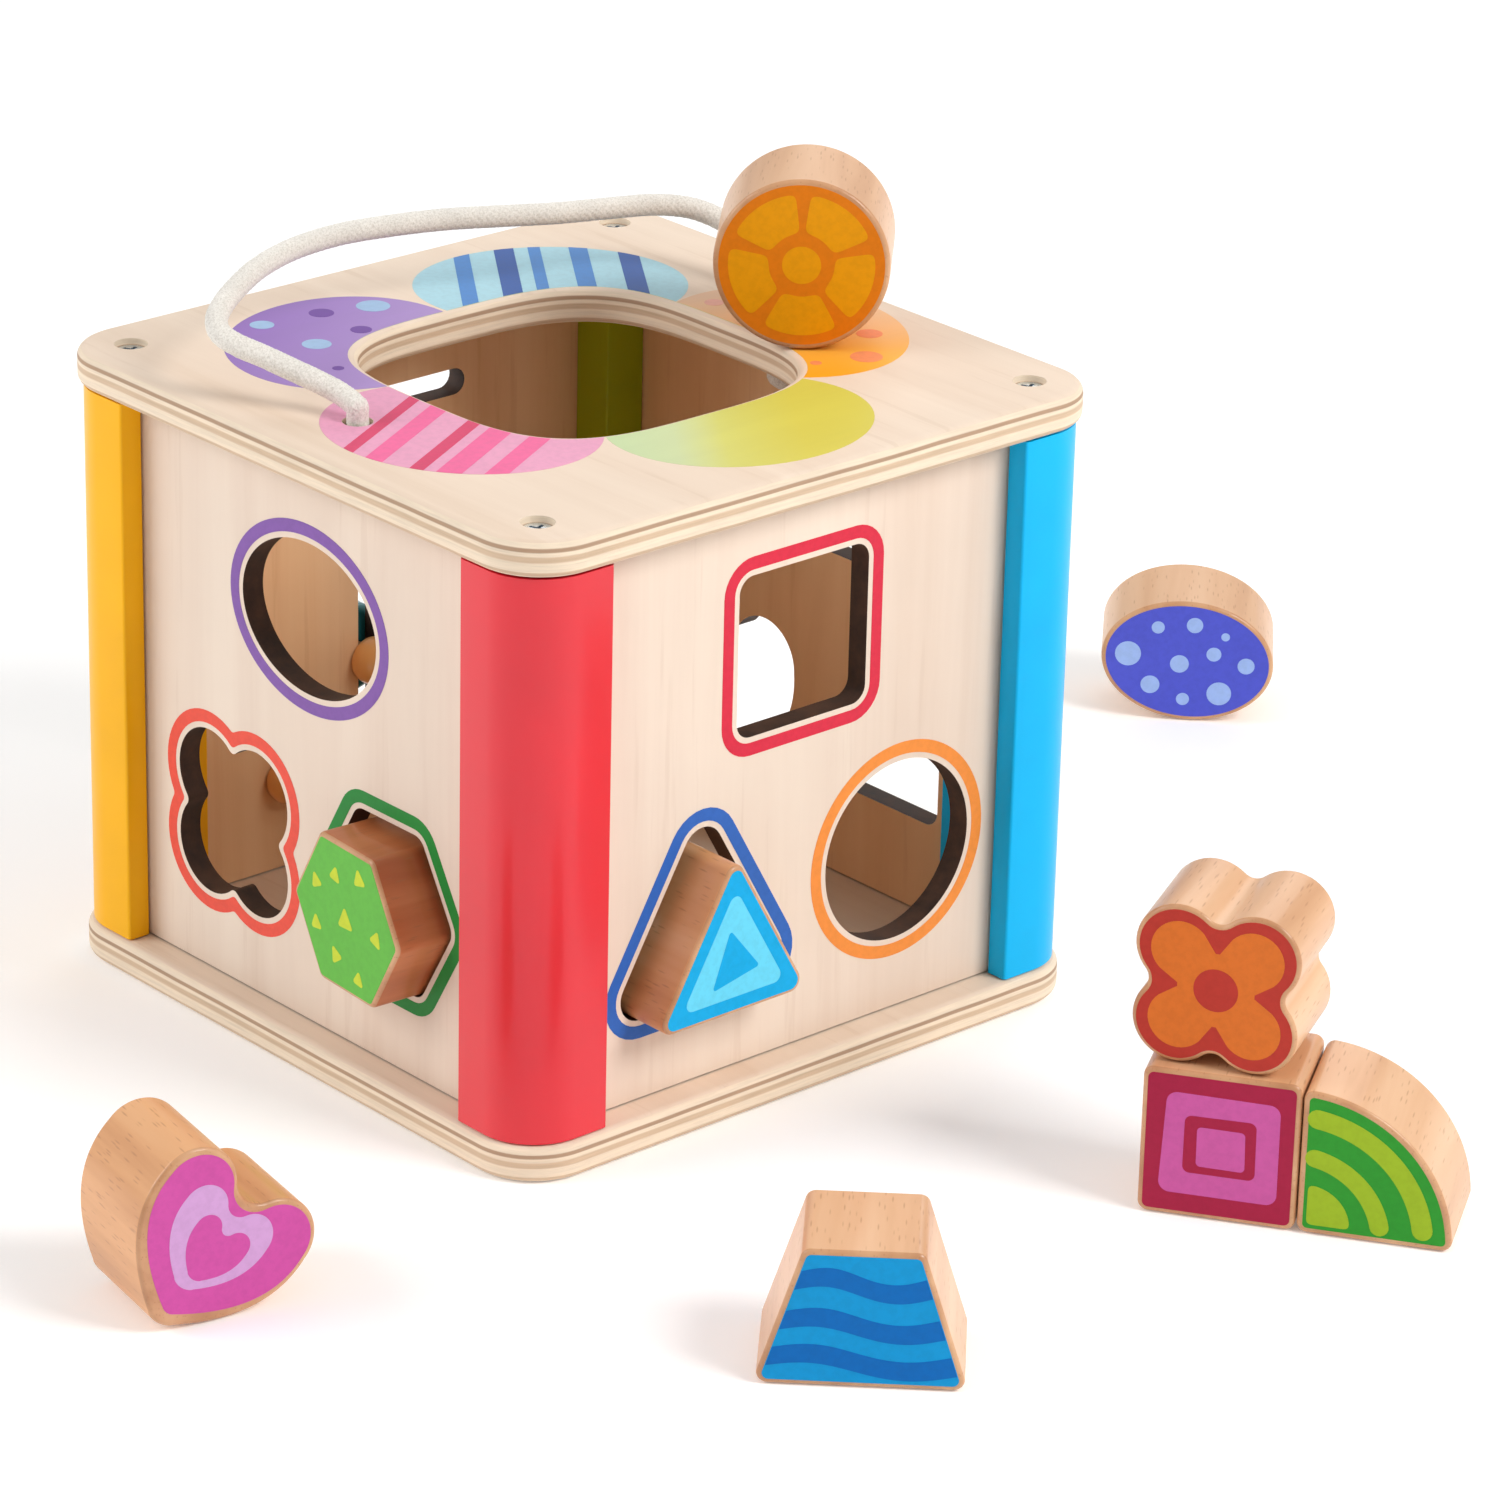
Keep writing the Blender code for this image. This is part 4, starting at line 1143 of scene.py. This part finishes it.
def make_panels():
    room = HOLE_CLEARANCE
    front = [
        (ellipse_outline, 0, UPPER_HOLE_Z, shade(134, 94, 170, "ring_purple")),
        (flower_outline, -HOLE_SIDE, LOWER_HOLE_Z, shade(236, 88, 72, "ring_coral")),
        (hexagon_outline, HOLE_SIDE, LOWER_HOLE_Z, shade(44, 140, 62, "ring_green")),
    ]
    right = [
        (square_outline, 0, UPPER_HOLE_Z, shade(216, 46, 70, "ring_crimson")),
        (triangle_hole, -HOLE_SIDE, TRIANGLE_HOLE_Z, shade(52, 104, 190, "ring_blue")),
        (circle_outline, CIRCLE_HOLE_SIDE, LOWER_HOLE_Z, shade(240, 144, 62, "ring_orange")),
    ]
    back = [
        (trapezoid_outline, 0, UPPER_HOLE_Z, shade(60, 170, 210, "ring_sky")),
        (quarter_outline, -QUARTER_HOLE_SIDE, QUARTER_HOLE_Z, shade(120, 180, 70, "ring_leaf")),
        (heart_outline, HEART_HOLE_SIDE, HEART_HOLE_Z, shade(214, 90, 160, "ring_pink")),
    ]
    for node, facing, holes in (("panel_front", 0, front), ("panel_right", 90, right),
                                ("panel_back", 180, back)):
        cuts = [moved(outline(room), x, y) for outline, x, y, _ in holes]
        make_panel(node, facing, cuts, holes)
    make_panel("panel_left", 270, [track_outline()], [])


# ------------------------------------------------------------ the sliders

def make_slider(name, y, z, paint):
    outside = PANEL_FACE + GAP
    inside = PANEL_BACK - GAP
    edge = 2.0 * MM
    bore = PIN_RADIUS + GAP
    seat = PIN_SEAT + GAP
    profile = [(0, KNOB_THICKNESS), (3 * MM, KNOB_THICKNESS)]
    profile += arc((KNOB_RADIUS - edge, KNOB_THICKNESS - edge), edge, 90, 0, 8)
    profile += arc((KNOB_RADIUS - edge, edge), edge, 0, -90, 8)
    profile += [(bore, 0), (bore, seat), (0, seat)]
    knob = dress(turned("Knob_" + name, profile, 64), paint)
    knob.location = (-outside, y, z)
    knob.rotation_euler = (0, -math.pi / 2, 0)
    show(smooth(knob, 40), name + "_slider", name, name + "_knob")

    flat = math.sqrt(CAP_RADIUS ** 2 - (CAP_HEIGHT - CAP_RADIUS) ** 2)
    low = math.degrees(math.asin((CAP_RADIUS - CAP_HEIGHT) / CAP_RADIUS))
    dome = arc((0, CAP_HEIGHT - CAP_RADIUS), CAP_RADIUS, 90, low, 20)[:-1]
    dome[0] = (0, dome[0][1])
    dome += [(flat, 0), (bore, 0), (bore, seat), (0, seat)]
    cap = dress(turned("Cap_" + name, dome, 48), varnished)
    cap.location = (-inside, y, z)
    cap.rotation_euler = (0, math.pi / 2, 0)
    show(smooth(cap, 40), name + "_slider", "orange", name + "_cap")

    half = (outside - inside) / 2 + PIN_SEAT
    stick = [(0, half), (PIN_RADIUS - 0.2 * MM, half), (PIN_RADIUS, half - 0.2 * MM),
             (PIN_RADIUS, 0.2 * MM - half), (PIN_RADIUS - 0.2 * MM, -half), (0, -half)]
    pin = dress(turned("Pin_" + name, stick, 32), beech_rim)
    pin.location = (-(outside + inside) / 2, y, z)
    pin.rotation_euler = (0, math.pi / 2, 0)
    show(smooth(pin, 40), name + "_slider", "beech", name + "_pin")


# --------------------------------------------------------------- the rope

def smooth_route(route, spacing):
    """Evenly spaced points on a Catmull-Rom curve through the route."""
    ends = [2 * route[0] - route[1]] + route + [2 * route[-1] - route[-2]]
    fine = []
    for index in range(1, len(ends) - 2):
        a, b, c, d = ends[index - 1:index + 3]
        for step in range(24):
            t = step / 24
            first = (c - a) * t
            second = (2 * a - 5 * b + 4 * c - d) * t ** 2
            third = (3 * b - a - 3 * c + d) * t ** 3
            fine.append((2 * b + first + second + third) / 2)
    fine.append(route[-1])
    reach = [0.0]
    for p, q in zip(fine, fine[1:]):
        reach.append(reach[-1] + (q - p).length)
    count = max(int(round(reach[-1] / spacing)), 2) + 1
    points = []
    place = 0
    for index in range(count):
        goal = reach[-1] * index / (count - 1)
        while place < len(reach) - 2 and reach[place + 1] < goal:
            place += 1
        share = (goal - reach[place]) / (reach[place + 1] - reach[place])
        points.append(fine[place].lerp(fine[place + 1], share))
    return points


def braided_tube(name, points, radius):
    """A sleeve of strands that cross over and under, along the points."""
    around = 40
    strands = 10
    pitch = 17.0 * MM
    relief = 0.36 * MM
    verts = []
    faces = []
    tangent = (points[1] - points[0]).normalized()
    side = tangent.orthogonal().normalized()
    travelled = 0.0
    rings = len(points)
    for index, point in enumerate(points):
        if index:
            travelled += (point - points[index - 1]).length
            ahead = points[min(index + 1, len(points) - 1)]
            fresh = (ahead - points[index - 1]).normalized()
            side = (tangent.rotation_difference(fresh) @ side).normalized()
            tangent = fresh
            side = (side - tangent * side.dot(tangent)).normalized()
        up = tangent.cross(side)
        for step in range(around):
            angle = 2 * math.pi * step / around
            turn = 2 * math.pi * travelled / pitch
            one = math.cos(strands / 2 * (angle - turn))
            two = math.cos(strands / 2 * (angle + turn))
            bulge = max(abs(one) ** 0.7 * (1 if one * two > 0 else 0.78),
                        abs(two) ** 0.7 * (0.78 if one * two > 0 else 1))
            reach = radius - relief + relief * bulge
            verts.append(point + (side * math.cos(angle) + up * math.sin(angle)) * reach)
    for ring in range(rings - 1):
        for step in range(around):
            after = (step + 1) % around
            a = ring * around
            b = a + around
            faces.append((a + step, a + after, b + after, b + step))
    ends = ((0, points[0], points[0] - points[1]),
            (rings - 1, points[-1], points[-1] - points[-2]))
    for ring, middle, outward in ends:
        outward = outward.normalized()
        previous = [ring * around + step for step in range(around)]
        rim = [verts[place] - middle for place in previous]
        for lean in (25, 50, 75):
            cos = math.cos(math.radians(lean))
            rise = math.sin(math.radians(lean)) * radius * 0.9
            fresh = []
            for offset in rim:
                fresh.append(len(verts))
                verts.append(middle + offset * cos + outward * rise)
            for step in range(around):
                after = (step + 1) % around
                quad = (previous[step], previous[after], fresh[after], fresh[step])
                faces.append(quad if ring else tuple(reversed(quad)))
            previous = fresh
        tip = len(verts)
        verts.append(middle + outward * radius * 0.9)
        for step in range(around):
            after = (step + 1) % around
            tri = (previous[step], previous[after], tip)
            faces.append(tri if ring else tuple(reversed(tri)))
    mesh = bpy.data.meshes.new(name)
    mesh.from_pydata([tuple(v) for v in verts], [], faces)
    for face in mesh.polygons:
        face.use_smooth = True
    return dress(add_object(name, mesh), cotton)


def knot_route(side):
    """An overhand knot under the board's hole."""
    points = []
    middle = Vector((0, side * ROPE_HOLE_Y, POST_TOP - GAP - 5.4 * MM))
    for index in range(15):
        t = 0.15 + 5.7 * index / 14
        x = math.sin(t) + 2 * math.sin(2 * t)
        h = math.cos(t) - 2 * math.cos(2 * t)
        depth = -math.sin(3 * t)
        points.append(middle + Vector((x * 1.25, depth * 1.3 * side, h * 0.95)) * MM)
    return points


def make_rope():
    route = []
    for along, up in ROPE_ROUTE_MM:
        height = up * MM
        place = (-height * math.sin(ROPE_LEAN), along * MM,
                 height * math.cos(ROPE_LEAN) + ROPE_PIVOT_Z)
        route.append(Vector(place))
    points = smooth_route(route, 0.4 * MM)
    rope = braided_tube("Rope_handle", points, ROPE_RADIUS)
    show(rope, "handle", "cotton", "rope_handle")
    for name, side in (("front", -1), ("back", 1)):
        y = side * ROPE_HOLE_Y
        heights = (ROPE_PIVOT_Z, TOP_SURFACE - 3 * MM, POST_TOP - 2 * MM)
        through = smooth_route([Vector((0, y, z)) for z in heights], 0.4 * MM)
        stem = braided_tube("stem", through, ROPE_RADIUS * 0.985)
        loop = smooth_route(knot_route(side), 0.5 * MM)
        knot = braided_tube("knot", loop, ROPE_RADIUS * 0.92)
        whole = join([stem, knot], "Rope_knot_" + name)
        for face in whole.data.polygons:
            face.use_smooth = True
        show(whole, "cube", "cotton", "rope_knot_" + name)


# ------------------------------------------------------------- the blocks

def block_body(name, outline, wood):
    """A solid beech block with darker rims and a sawn, end-grain back."""
    block = plate(name, [outline()], BLOCK_THICKNESS, BLOCK_EDGE, 4)
    dress(block, wood, beech_rim, beech_end)
    for face in block.data.polygons:
        if face.normal.z < -0.99:
            face.material_index = 2
        else:
            face.material_index = 0 if abs(face.normal.z) < 0.35 else 1
    return block


def finish_block(name, body, prints, place, facing, tilt=0.0, wood=beech):
    """prints are (outline, level, material) on the front face."""
    front = BLOCK_THICKNESS / 2
    block = block_body("block", body, wood)
    pieces = [block]
    for number, (outline, level, material) in enumerate(prints):
        height = front + (PRINT_FIRST + level) * PRINT_LIFT + 0.0005 * MM * number
        pieces.append(decal(outline, height, material))
    whole = join(pieces, "Block_" + name)
    smooth(whole, 40)
    whole.matrix_world = stand(place, facing, tilt)
    bpy.context.view_layer.update()
    show(whole, name, "beech", "block_" + name)
    return whole


def ring_of(centre, radius, width, start, end):
    """A curved bar with round ends, as one outline."""
    outer = arc(centre, radius + width / 2, start, end, 30)
    inner = arc(centre, radius - width / 2, end, start, 30)
    last = arc(centre, radius, end, end, 1)[0]
    first = arc(centre, radius, start, start, 1)[0]
    cap = arc(last, width / 2, end, end + 180, 8)[1:-1]
    foot = arc(first, width / 2, start + 180, start + 360, 8)[1:-1]
    return outer + cap + inner + foot


def circle_prints():
    petals = []
    ground = shade(226, 124, 14, "circle_ground")
    amber = shade(234, 156, 4, "circle_amber")
    radius = CIRCLE_RADIUS - 1.1 * MM
    for index in range(5):
        middle = -90 + 72 * index
        shape = arc((0, 0), radius * 0.885, middle - 30, middle + 30, 10)
        low = arc((0, 0), radius * 0.40, middle + 32, middle - 32, 8)
        corners = soften(shape + low, 1.2 * MM)
        petals.append((corners, 1, amber))
    petals.append((disc((0, 0), radius * 0.235), 1, amber))
    return [(circle_outline(-1.1 * MM), 0, ground)] + petals


def soften(points, radius):
    """Rounds an outline by averaging it along its own length."""
    loop = [Vector(p) for p in points]
    dense = []
    for index, point in enumerate(loop):
        after = loop[(index + 1) % len(loop)]
        pieces = max(int((after - point).length / (0.25 * MM)), 1)
        for step in range(pieces):
            dense.append(point.lerp(after, step / pieces))
    span = max(int(radius / (0.25 * MM)), 1)
    for _ in range(2):
        fresh = []
        for index in range(len(dense)):
            total = Vector((0, 0))
            for shift in range(-span, span + 1):
                total += dense[(index + shift) % len(dense)]
            fresh.append(total / (2 * span + 1))
        dense = fresh
    return [tuple(p) for p in dense[::2]]


def ellipse_prints():
    ground = shade(82, 90, 208, "ellipse_ground")
    dot = shade(160, 188, 242, "ellipse_dot")
    wide = ELLIPSE_RADII[0] - 1.0 * MM
    tall = ELLIPSE_RADII[1] - 1.0 * MM
    # Each spot's place and radius, as shares of the printed oval's size.
    spots = [(-0.41, 0.55, 0.080), (0.03, 0.67, 0.100), (0.42, 0.53, 0.053),
             (-0.73, 0.01, 0.159), (0.31, 0.19, 0.091), (-0.09, -0.06, 0.115),
             (0.72, 0.05, 0.104), (-0.41, -0.50, 0.116), (0.44, -0.51, 0.151),
             (0.01, -0.69, 0.080)]
    prints = [(ellipse_outline(-1.0 * MM), 0, ground)]
    for x, y, size in spots:
        prints.append((disc((x * wide, y * tall), size * wide), 1, dot))
    return prints


def square_prints():
    size = 2 * (SQUARE_HALF - 1.0 * MM)

    def spot(u, v):
        return ((u - 0.5) * size, (v - 0.5) * size)

    ground = shade(168, 32, 68, "square_ground")
    pink = shade(205, 92, 165, "square_pink")
    first = [spot(0.10, 0.134), spot(0.904, 0.133), spot(0.90, 0.867), spot(0.135, 0.876)]
    second = [spot(0.26, 0.295), spot(0.75, 0.295), spot(0.745, 0.72), spot(0.262, 0.715)]
    third = [spot(0.35, 0.35), spot(0.68, 0.347), spot(0.672, 0.638), spot(0.347, 0.64)]
    return [(square_outline(-1.0 * MM), 0, ground), (rounded(first, 2.2 * MM), 1, pink),
            (rounded(second, 1.4 * MM), 2, ground), (rounded(third, 0.9 * MM), 3, pink)]


def quarter_prints():
    ground = shade(48, 152, 48, "quarter_ground")
    lime = shade(158, 188, 40, "quarter_lime")
    wedge = [(1.9 * MM, 2.0 * MM)] + arc((1.9 * MM, 2.0 * MM), 8.4 * MM, 0, 90, 20)
    return [(quarter_outline(-1.2 * MM), 0, ground),
            (ring_of((0, 0), 24.5 * MM, 4.0 * MM, 9, 83), 1, lime),
            (ring_of((0, 0), 16.3 * MM, 3.7 * MM, 12, 80), 1, lime),
            (soften(wedge, 0.9 * MM), 1, lime)]


def flower_prints():
    ground = shade(188, 58, 48, "flower_ground")
    orange = shade(222, 116, 44, "flower_orange")
    shape = []
    for quadrant in range(4):
        lobe = arc((7.2 * MM, 7.2 * MM), 5.9 * MM, -48, 138, 20)
        notch = [(0.4 * MM, 7.6 * MM), (-0.4 * MM, 7.6 * MM)]
        shape += rotated(lobe + notch, 90 * quadrant)
    return [(flower_outline(-0.9 * MM), 0, ground), (shape, 1, orange),
            (disc((0, 0), 4.4 * MM), 2, ground)]


def triangle_prints():
    ground = shade(6, 170, 230, "triangle_ground")
    cyan = shade(104, 214, 246, "triangle_cyan")
    inner = [(-1.2 * MM, 6.9 * MM), (-5.6 * MM, -5.1 * MM), (6.6 * MM, -2.65 * MM)]
    reach = 2 * 7.7 * MM
    middle = rounded(arc((0, 0), reach, -150, 210, 3)[:-1], 1.6 * MM, 6)
    return [(triangle_outline(-0.9 * MM), 0, ground), (middle, 1, cyan),
            (rounded(inner, 0.5 * MM, 4), 2, ground)]


def hexagon_prints():
    ground = shade(102, 186, 72, "hexagon_ground")
    lemon = shade(202, 216, 56, "hexagon_lemon")
    prints = [(hexagon_outline(-0.9 * MM), 0, ground)]
    for x, y, size, turn in ((4.6, 10.2, 2.5, 14), (-3.7, 8.2, 2.3, -10), (-10.2, 4.7, 2.3, 24),
                             (-0.2, -0.3, 3.1, 4), (10.3, -0.5, 2.4, -18), (-10.2, -4.3, 2.3, 8),
                             (-3.4, -8.8, 2.4, 34), (4.3, -11.3, 2.2, -6)):
        corners = rotated(arc((0, 0), size * MM, -30, 330, 3)[:-1], turn)
        prints.append((moved(rounded(corners, 0.5 * MM, 4), x * MM, y * MM), 1, lemon))
    return prints


def trapezoid_prints():
    light = shade(6, 152, 214, "trapezoid_light")
    deep = shade(0, 106, 186, "trapezoid_deep")
    ground = trapezoid_outline(-1.0 * MM)
    prints = [(ground, 0, light)]
    for top, bottom in ((0.83, 0.68), (0.51, 0.36), (0.22, 0.07)):
        strip = []
        for index in range(33):
            strip.append((index / 32, wave(index / 32, bottom)))
        for index in range(32, -1, -1):
            strip.append((index / 32, wave(index / 32, top)))
        placed = []
        for u, v in strip:
            height = (v - 0.5) * (TRAPEZOID_HEIGHT - 2 * MM)
            share = (height + TRAPEZOID_HEIGHT / 2) / TRAPEZOID_HEIGHT
            half = TRAPEZOID_BASE / 2 + (TRAPEZOID_TOP - TRAPEZOID_BASE) / 2 * share - 1.2 * MM
            placed.append(((2 * u - 1) * half, height))
        prints.append((placed, 1, deep))
    return prints


def wave(u, level):
    """Height of a wavy band: level at the ends, dipping right of middle."""
    return level + 0.05 * math.sin(2 * math.pi * (u + 0.03)) + 0.03 * (1 - u)


def heart_prints():
    ground = shade(206, 82, 164, "heart_ground")
    lilac = shade(208, 160, 212, "heart_lilac")
    shift = (0.18 * MM, 0.02 * MM)
    base = moved(heart_shape(7.16 * MM, 10.47 * MM, 5.35 * MM, 22.3 * MM, 2.8 * MM), *shift)
    ring = heart_shape(4.7 * MM, 6.1 * MM, 3.0 * MM, 15.2 * MM, 4.6 * MM)
    inner = heart_shape(2.8 * MM, 3.8 * MM, 1.6 * MM, 9.9 * MM, 3.2 * MM)
    return [(base, 0, ground), (moved(ring, -0.7 * MM, -2.1 * MM), 1, lilac),
            (moved(inner, 0.3 * MM, -4.9 * MM), 2, ground)]


def rest_height(outline, tilt):
    """How high a block's origin stands when it rests on the floor."""
    return -min(y for _, y in rotated(outline, tilt))


def from_corner(corner, facing, along):
    """The middle of a block whose front lower left corner is given."""
    across = sideways(facing) * along
    return Vector((*corner, 0)) + across + backwards(facing) * BLOCK_THICKNESS / 2


def make_blocks():
    out = PANEL_FACE + PUSHED_OUT - BLOCK_THICKNESS / 2
    drop = HOLE_CLEARANCE - GAP
    # The hexagon block wears the darker, redder beech: painted shade from the red post beside it.
    finish_block("hexagon", hexagon_outline, hexagon_prints(),
                 Vector((HOLE_SIDE, -out, LOWER_HOLE_Z - drop)), HEXAGON_FACING, wood=beech_russet_painted_shade)
    drop = TRIANGLE_CLEARANCE - GAP
    finish_block("triangle", triangle_outline, triangle_prints(),
                 Vector((out, -HOLE_SIDE, TRIANGLE_HOLE_Z - drop)), 90, wood=beech_amber)
    height = TOP_SURFACE + CIRCLE_RADIUS + GAP
    finish_block("circle", circle_outline, circle_prints(),
                 Vector((*CIRCLE_PLACE, height)), CIRCLE_FACING)
    corner = from_corner(PAIR_CORNER, PAIR_FACING, SQUARE_HALF)
    finish_block("square", square_outline, square_prints(),
                 corner + Vector((0, 0, SQUARE_HALF)), PAIR_FACING)
    finish_block("quarter", quarter_outline, quarter_prints(),
                 corner + sideways(PAIR_FACING) * (SQUARE_HALF + GAP), PAIR_FACING)
    height = 2 * SQUARE_HALF + GAP + FLOWER_OFFSET + FLOWER_LOBE
    place = corner + Vector((0, 0, height))
    place += sideways(PAIR_FACING) * FLOWER_SHIFT[0] * MM
    place += backwards(PAIR_FACING) * FLOWER_SHIFT[1] * MM
    finish_block("flower", flower_outline, flower_prints(), place, FLOWER_FACING)
    place = from_corner(TRAPEZOID_CORNER, TRAPEZOID_FACING, TRAPEZOID_BASE / 2)
    place.z = TRAPEZOID_HEIGHT / 2
    finish_block("trapezoid", trapezoid_outline, trapezoid_prints(), place, TRAPEZOID_FACING)
    place = Vector((*ELLIPSE_PLACE, rest_height(ellipse_outline(), ELLIPSE_TILT)))
    finish_block("ellipse", ellipse_outline, ellipse_prints(), place, ELLIPSE_FACING, ELLIPSE_TILT)
    place = Vector((*HEART_PLACE, rest_height(heart_outline(), HEART_TILT)))
    finish_block("heart", heart_outline, heart_prints(), place, HEART_FACING, HEART_TILT,
                 beech_amber)


# ---------------------------------------------------- camera, floor, light

CAMERA_PLACE = (0.8936, -0.7595, 0.5459)
CAMERA_ANGLES = (47.88, 22.95, 1.40)
CAMERA_LENS = 149.46


def make_camera():
    azimuth, elevation, roll = (math.radians(v) for v in CAMERA_ANGLES)
    back = Vector((math.sin(azimuth) * math.cos(elevation),
                   -math.cos(azimuth) * math.cos(elevation), math.sin(elevation)))
    level = Vector((math.cos(azimuth), math.sin(azimuth), 0))
    over = back.cross(level)
    right = level * math.cos(roll) + over * math.sin(roll)
    up = over * math.cos(roll) - level * math.sin(roll)
    lens = bpy.data.cameras.new("Camera")
    lens.lens = CAMERA_LENS
    lens.sensor_width = 36.0
    lens.clip_end = 20.0
    camera = add_object("Camera", lens)
    turn = Matrix((right, up, back)).transposed().to_4x4()
    camera.matrix_world = Matrix.Translation(CAMERA_PLACE) @ turn
    bpy.context.scene.camera = camera


def make_floor():
    made = Paint("studio_floor", 0.9)
    mottle = made.noise(made.place(), 3.0, 2.0)
    made.base(made.fade(mottle, 0.3, 0.955, 0.7, 0.965))
    made.shader.inputs["Emission Color"].default_value = grey(1.0)
    made.shader.inputs["Emission Strength"].default_value = 0.13
    made.roughness(mottle, 0.85, 0.95)
    mesh = bpy.data.meshes.new("Floor")
    reach = 6.0
    points = [(x, y, -0.2 * MM) for x, y in box_corners(reach, reach)]
    mesh.from_pydata(points, [], [(0, 1, 2, 3)])
    floor = dress(add_object("Floor", mesh), made.material)


def area_light(name, place, target, size, power, tint=(1, 1, 1)):
    lamp = bpy.data.lights.new(name, "AREA")
    lamp.shape = "RECTANGLE"
    lamp.size = size[0]
    lamp.size_y = size[1]
    lamp.energy = power
    lamp.color = tint
    item = add_object(name, lamp)
    place = Vector(place)
    item.location = place
    item.rotation_euler = (Vector(target) - place).to_track_quat("-Z", "Y").to_euler()


def make_light():
    world = bpy.data.worlds.new("Studio")
    bpy.context.scene.world = world
    world.use_nodes = True
    tree = world.node_tree
    ground = tree.nodes["Background"]
    ground.inputs["Color"].default_value = (1.0, 1.0, 1.0, 1.0)
    # A white room with its dark end at the front right corner of the toy.
    where = tree.nodes.new("ShaderNodeTexCoord")
    dot = tree.nodes.new("ShaderNodeVectorMath")
    dot.operation = "DOT_PRODUCT"
    dot.inputs[1].default_value = (0.66, -0.75, 0.0)
    spread = tree.nodes.new("ShaderNodeMapRange")
    spread.interpolation_type = "SMOOTHSTEP"
    spread.inputs["From Min"].default_value = 0.72
    spread.inputs["From Max"].default_value = 0.93
    spread.inputs["To Min"].default_value = 0.51
    spread.inputs["To Max"].default_value = 0.12
    tree.links.new(where.outputs["Generated"], dot.inputs[0])
    tree.links.new(dot.outputs["Value"], spread.inputs["Value"])
    # Looked at directly, the room is plain white all round.
    path = tree.nodes.new("ShaderNodeLightPath")
    seen = tree.nodes.new("ShaderNodeMix")
    seen.inputs[3].default_value = 1.0
    tree.links.new(path.outputs["Is Camera Ray"], seen.inputs[0])
    tree.links.new(spread.outputs["Result"], seen.inputs[2])
    tree.links.new(seen.outputs[0], ground.inputs["Strength"])
    target = (0.03, 0.0, 0.06)
    area_light("Key", (1.15, 0.42, 1.05), target, (0.6, 0.6), 15.5, (1.0, 0.98, 0.96))
    area_light("Fill", (-0.85, -1.35, 1.0), target, (1.1, 1.0), 15.5, (1.0, 0.99, 0.99))
    area_light("Rim", (-0.9, 1.4, 1.3), target, (1.2, 1.0), 6.0)
    settings = bpy.context.scene.view_settings
    settings.view_transform = "Standard"
    settings.look = "None"


# -------------------------------------------------------------- the whole

make_camera()
make_floor()
make_light()
make_rope()
make_base_board()
make_top_board()
make_screws()
for post_name, post_turns in (("green", 1), ("yellow", 2), ("red", 3), ("blue", 0)):
    make_post(post_name, post_turns)
make_panels()
make_slider("teal", SLOT_MIDDLE_Y, TEAL_KNOB_Z, paints["teal"])
make_slider("red", SLOT_MIDDLE_Y - SLOT_HALF_SPAN, SLOT_BOTTOM_Z, paints["red"])
make_blocks()

bpy.context.view_layer.update()
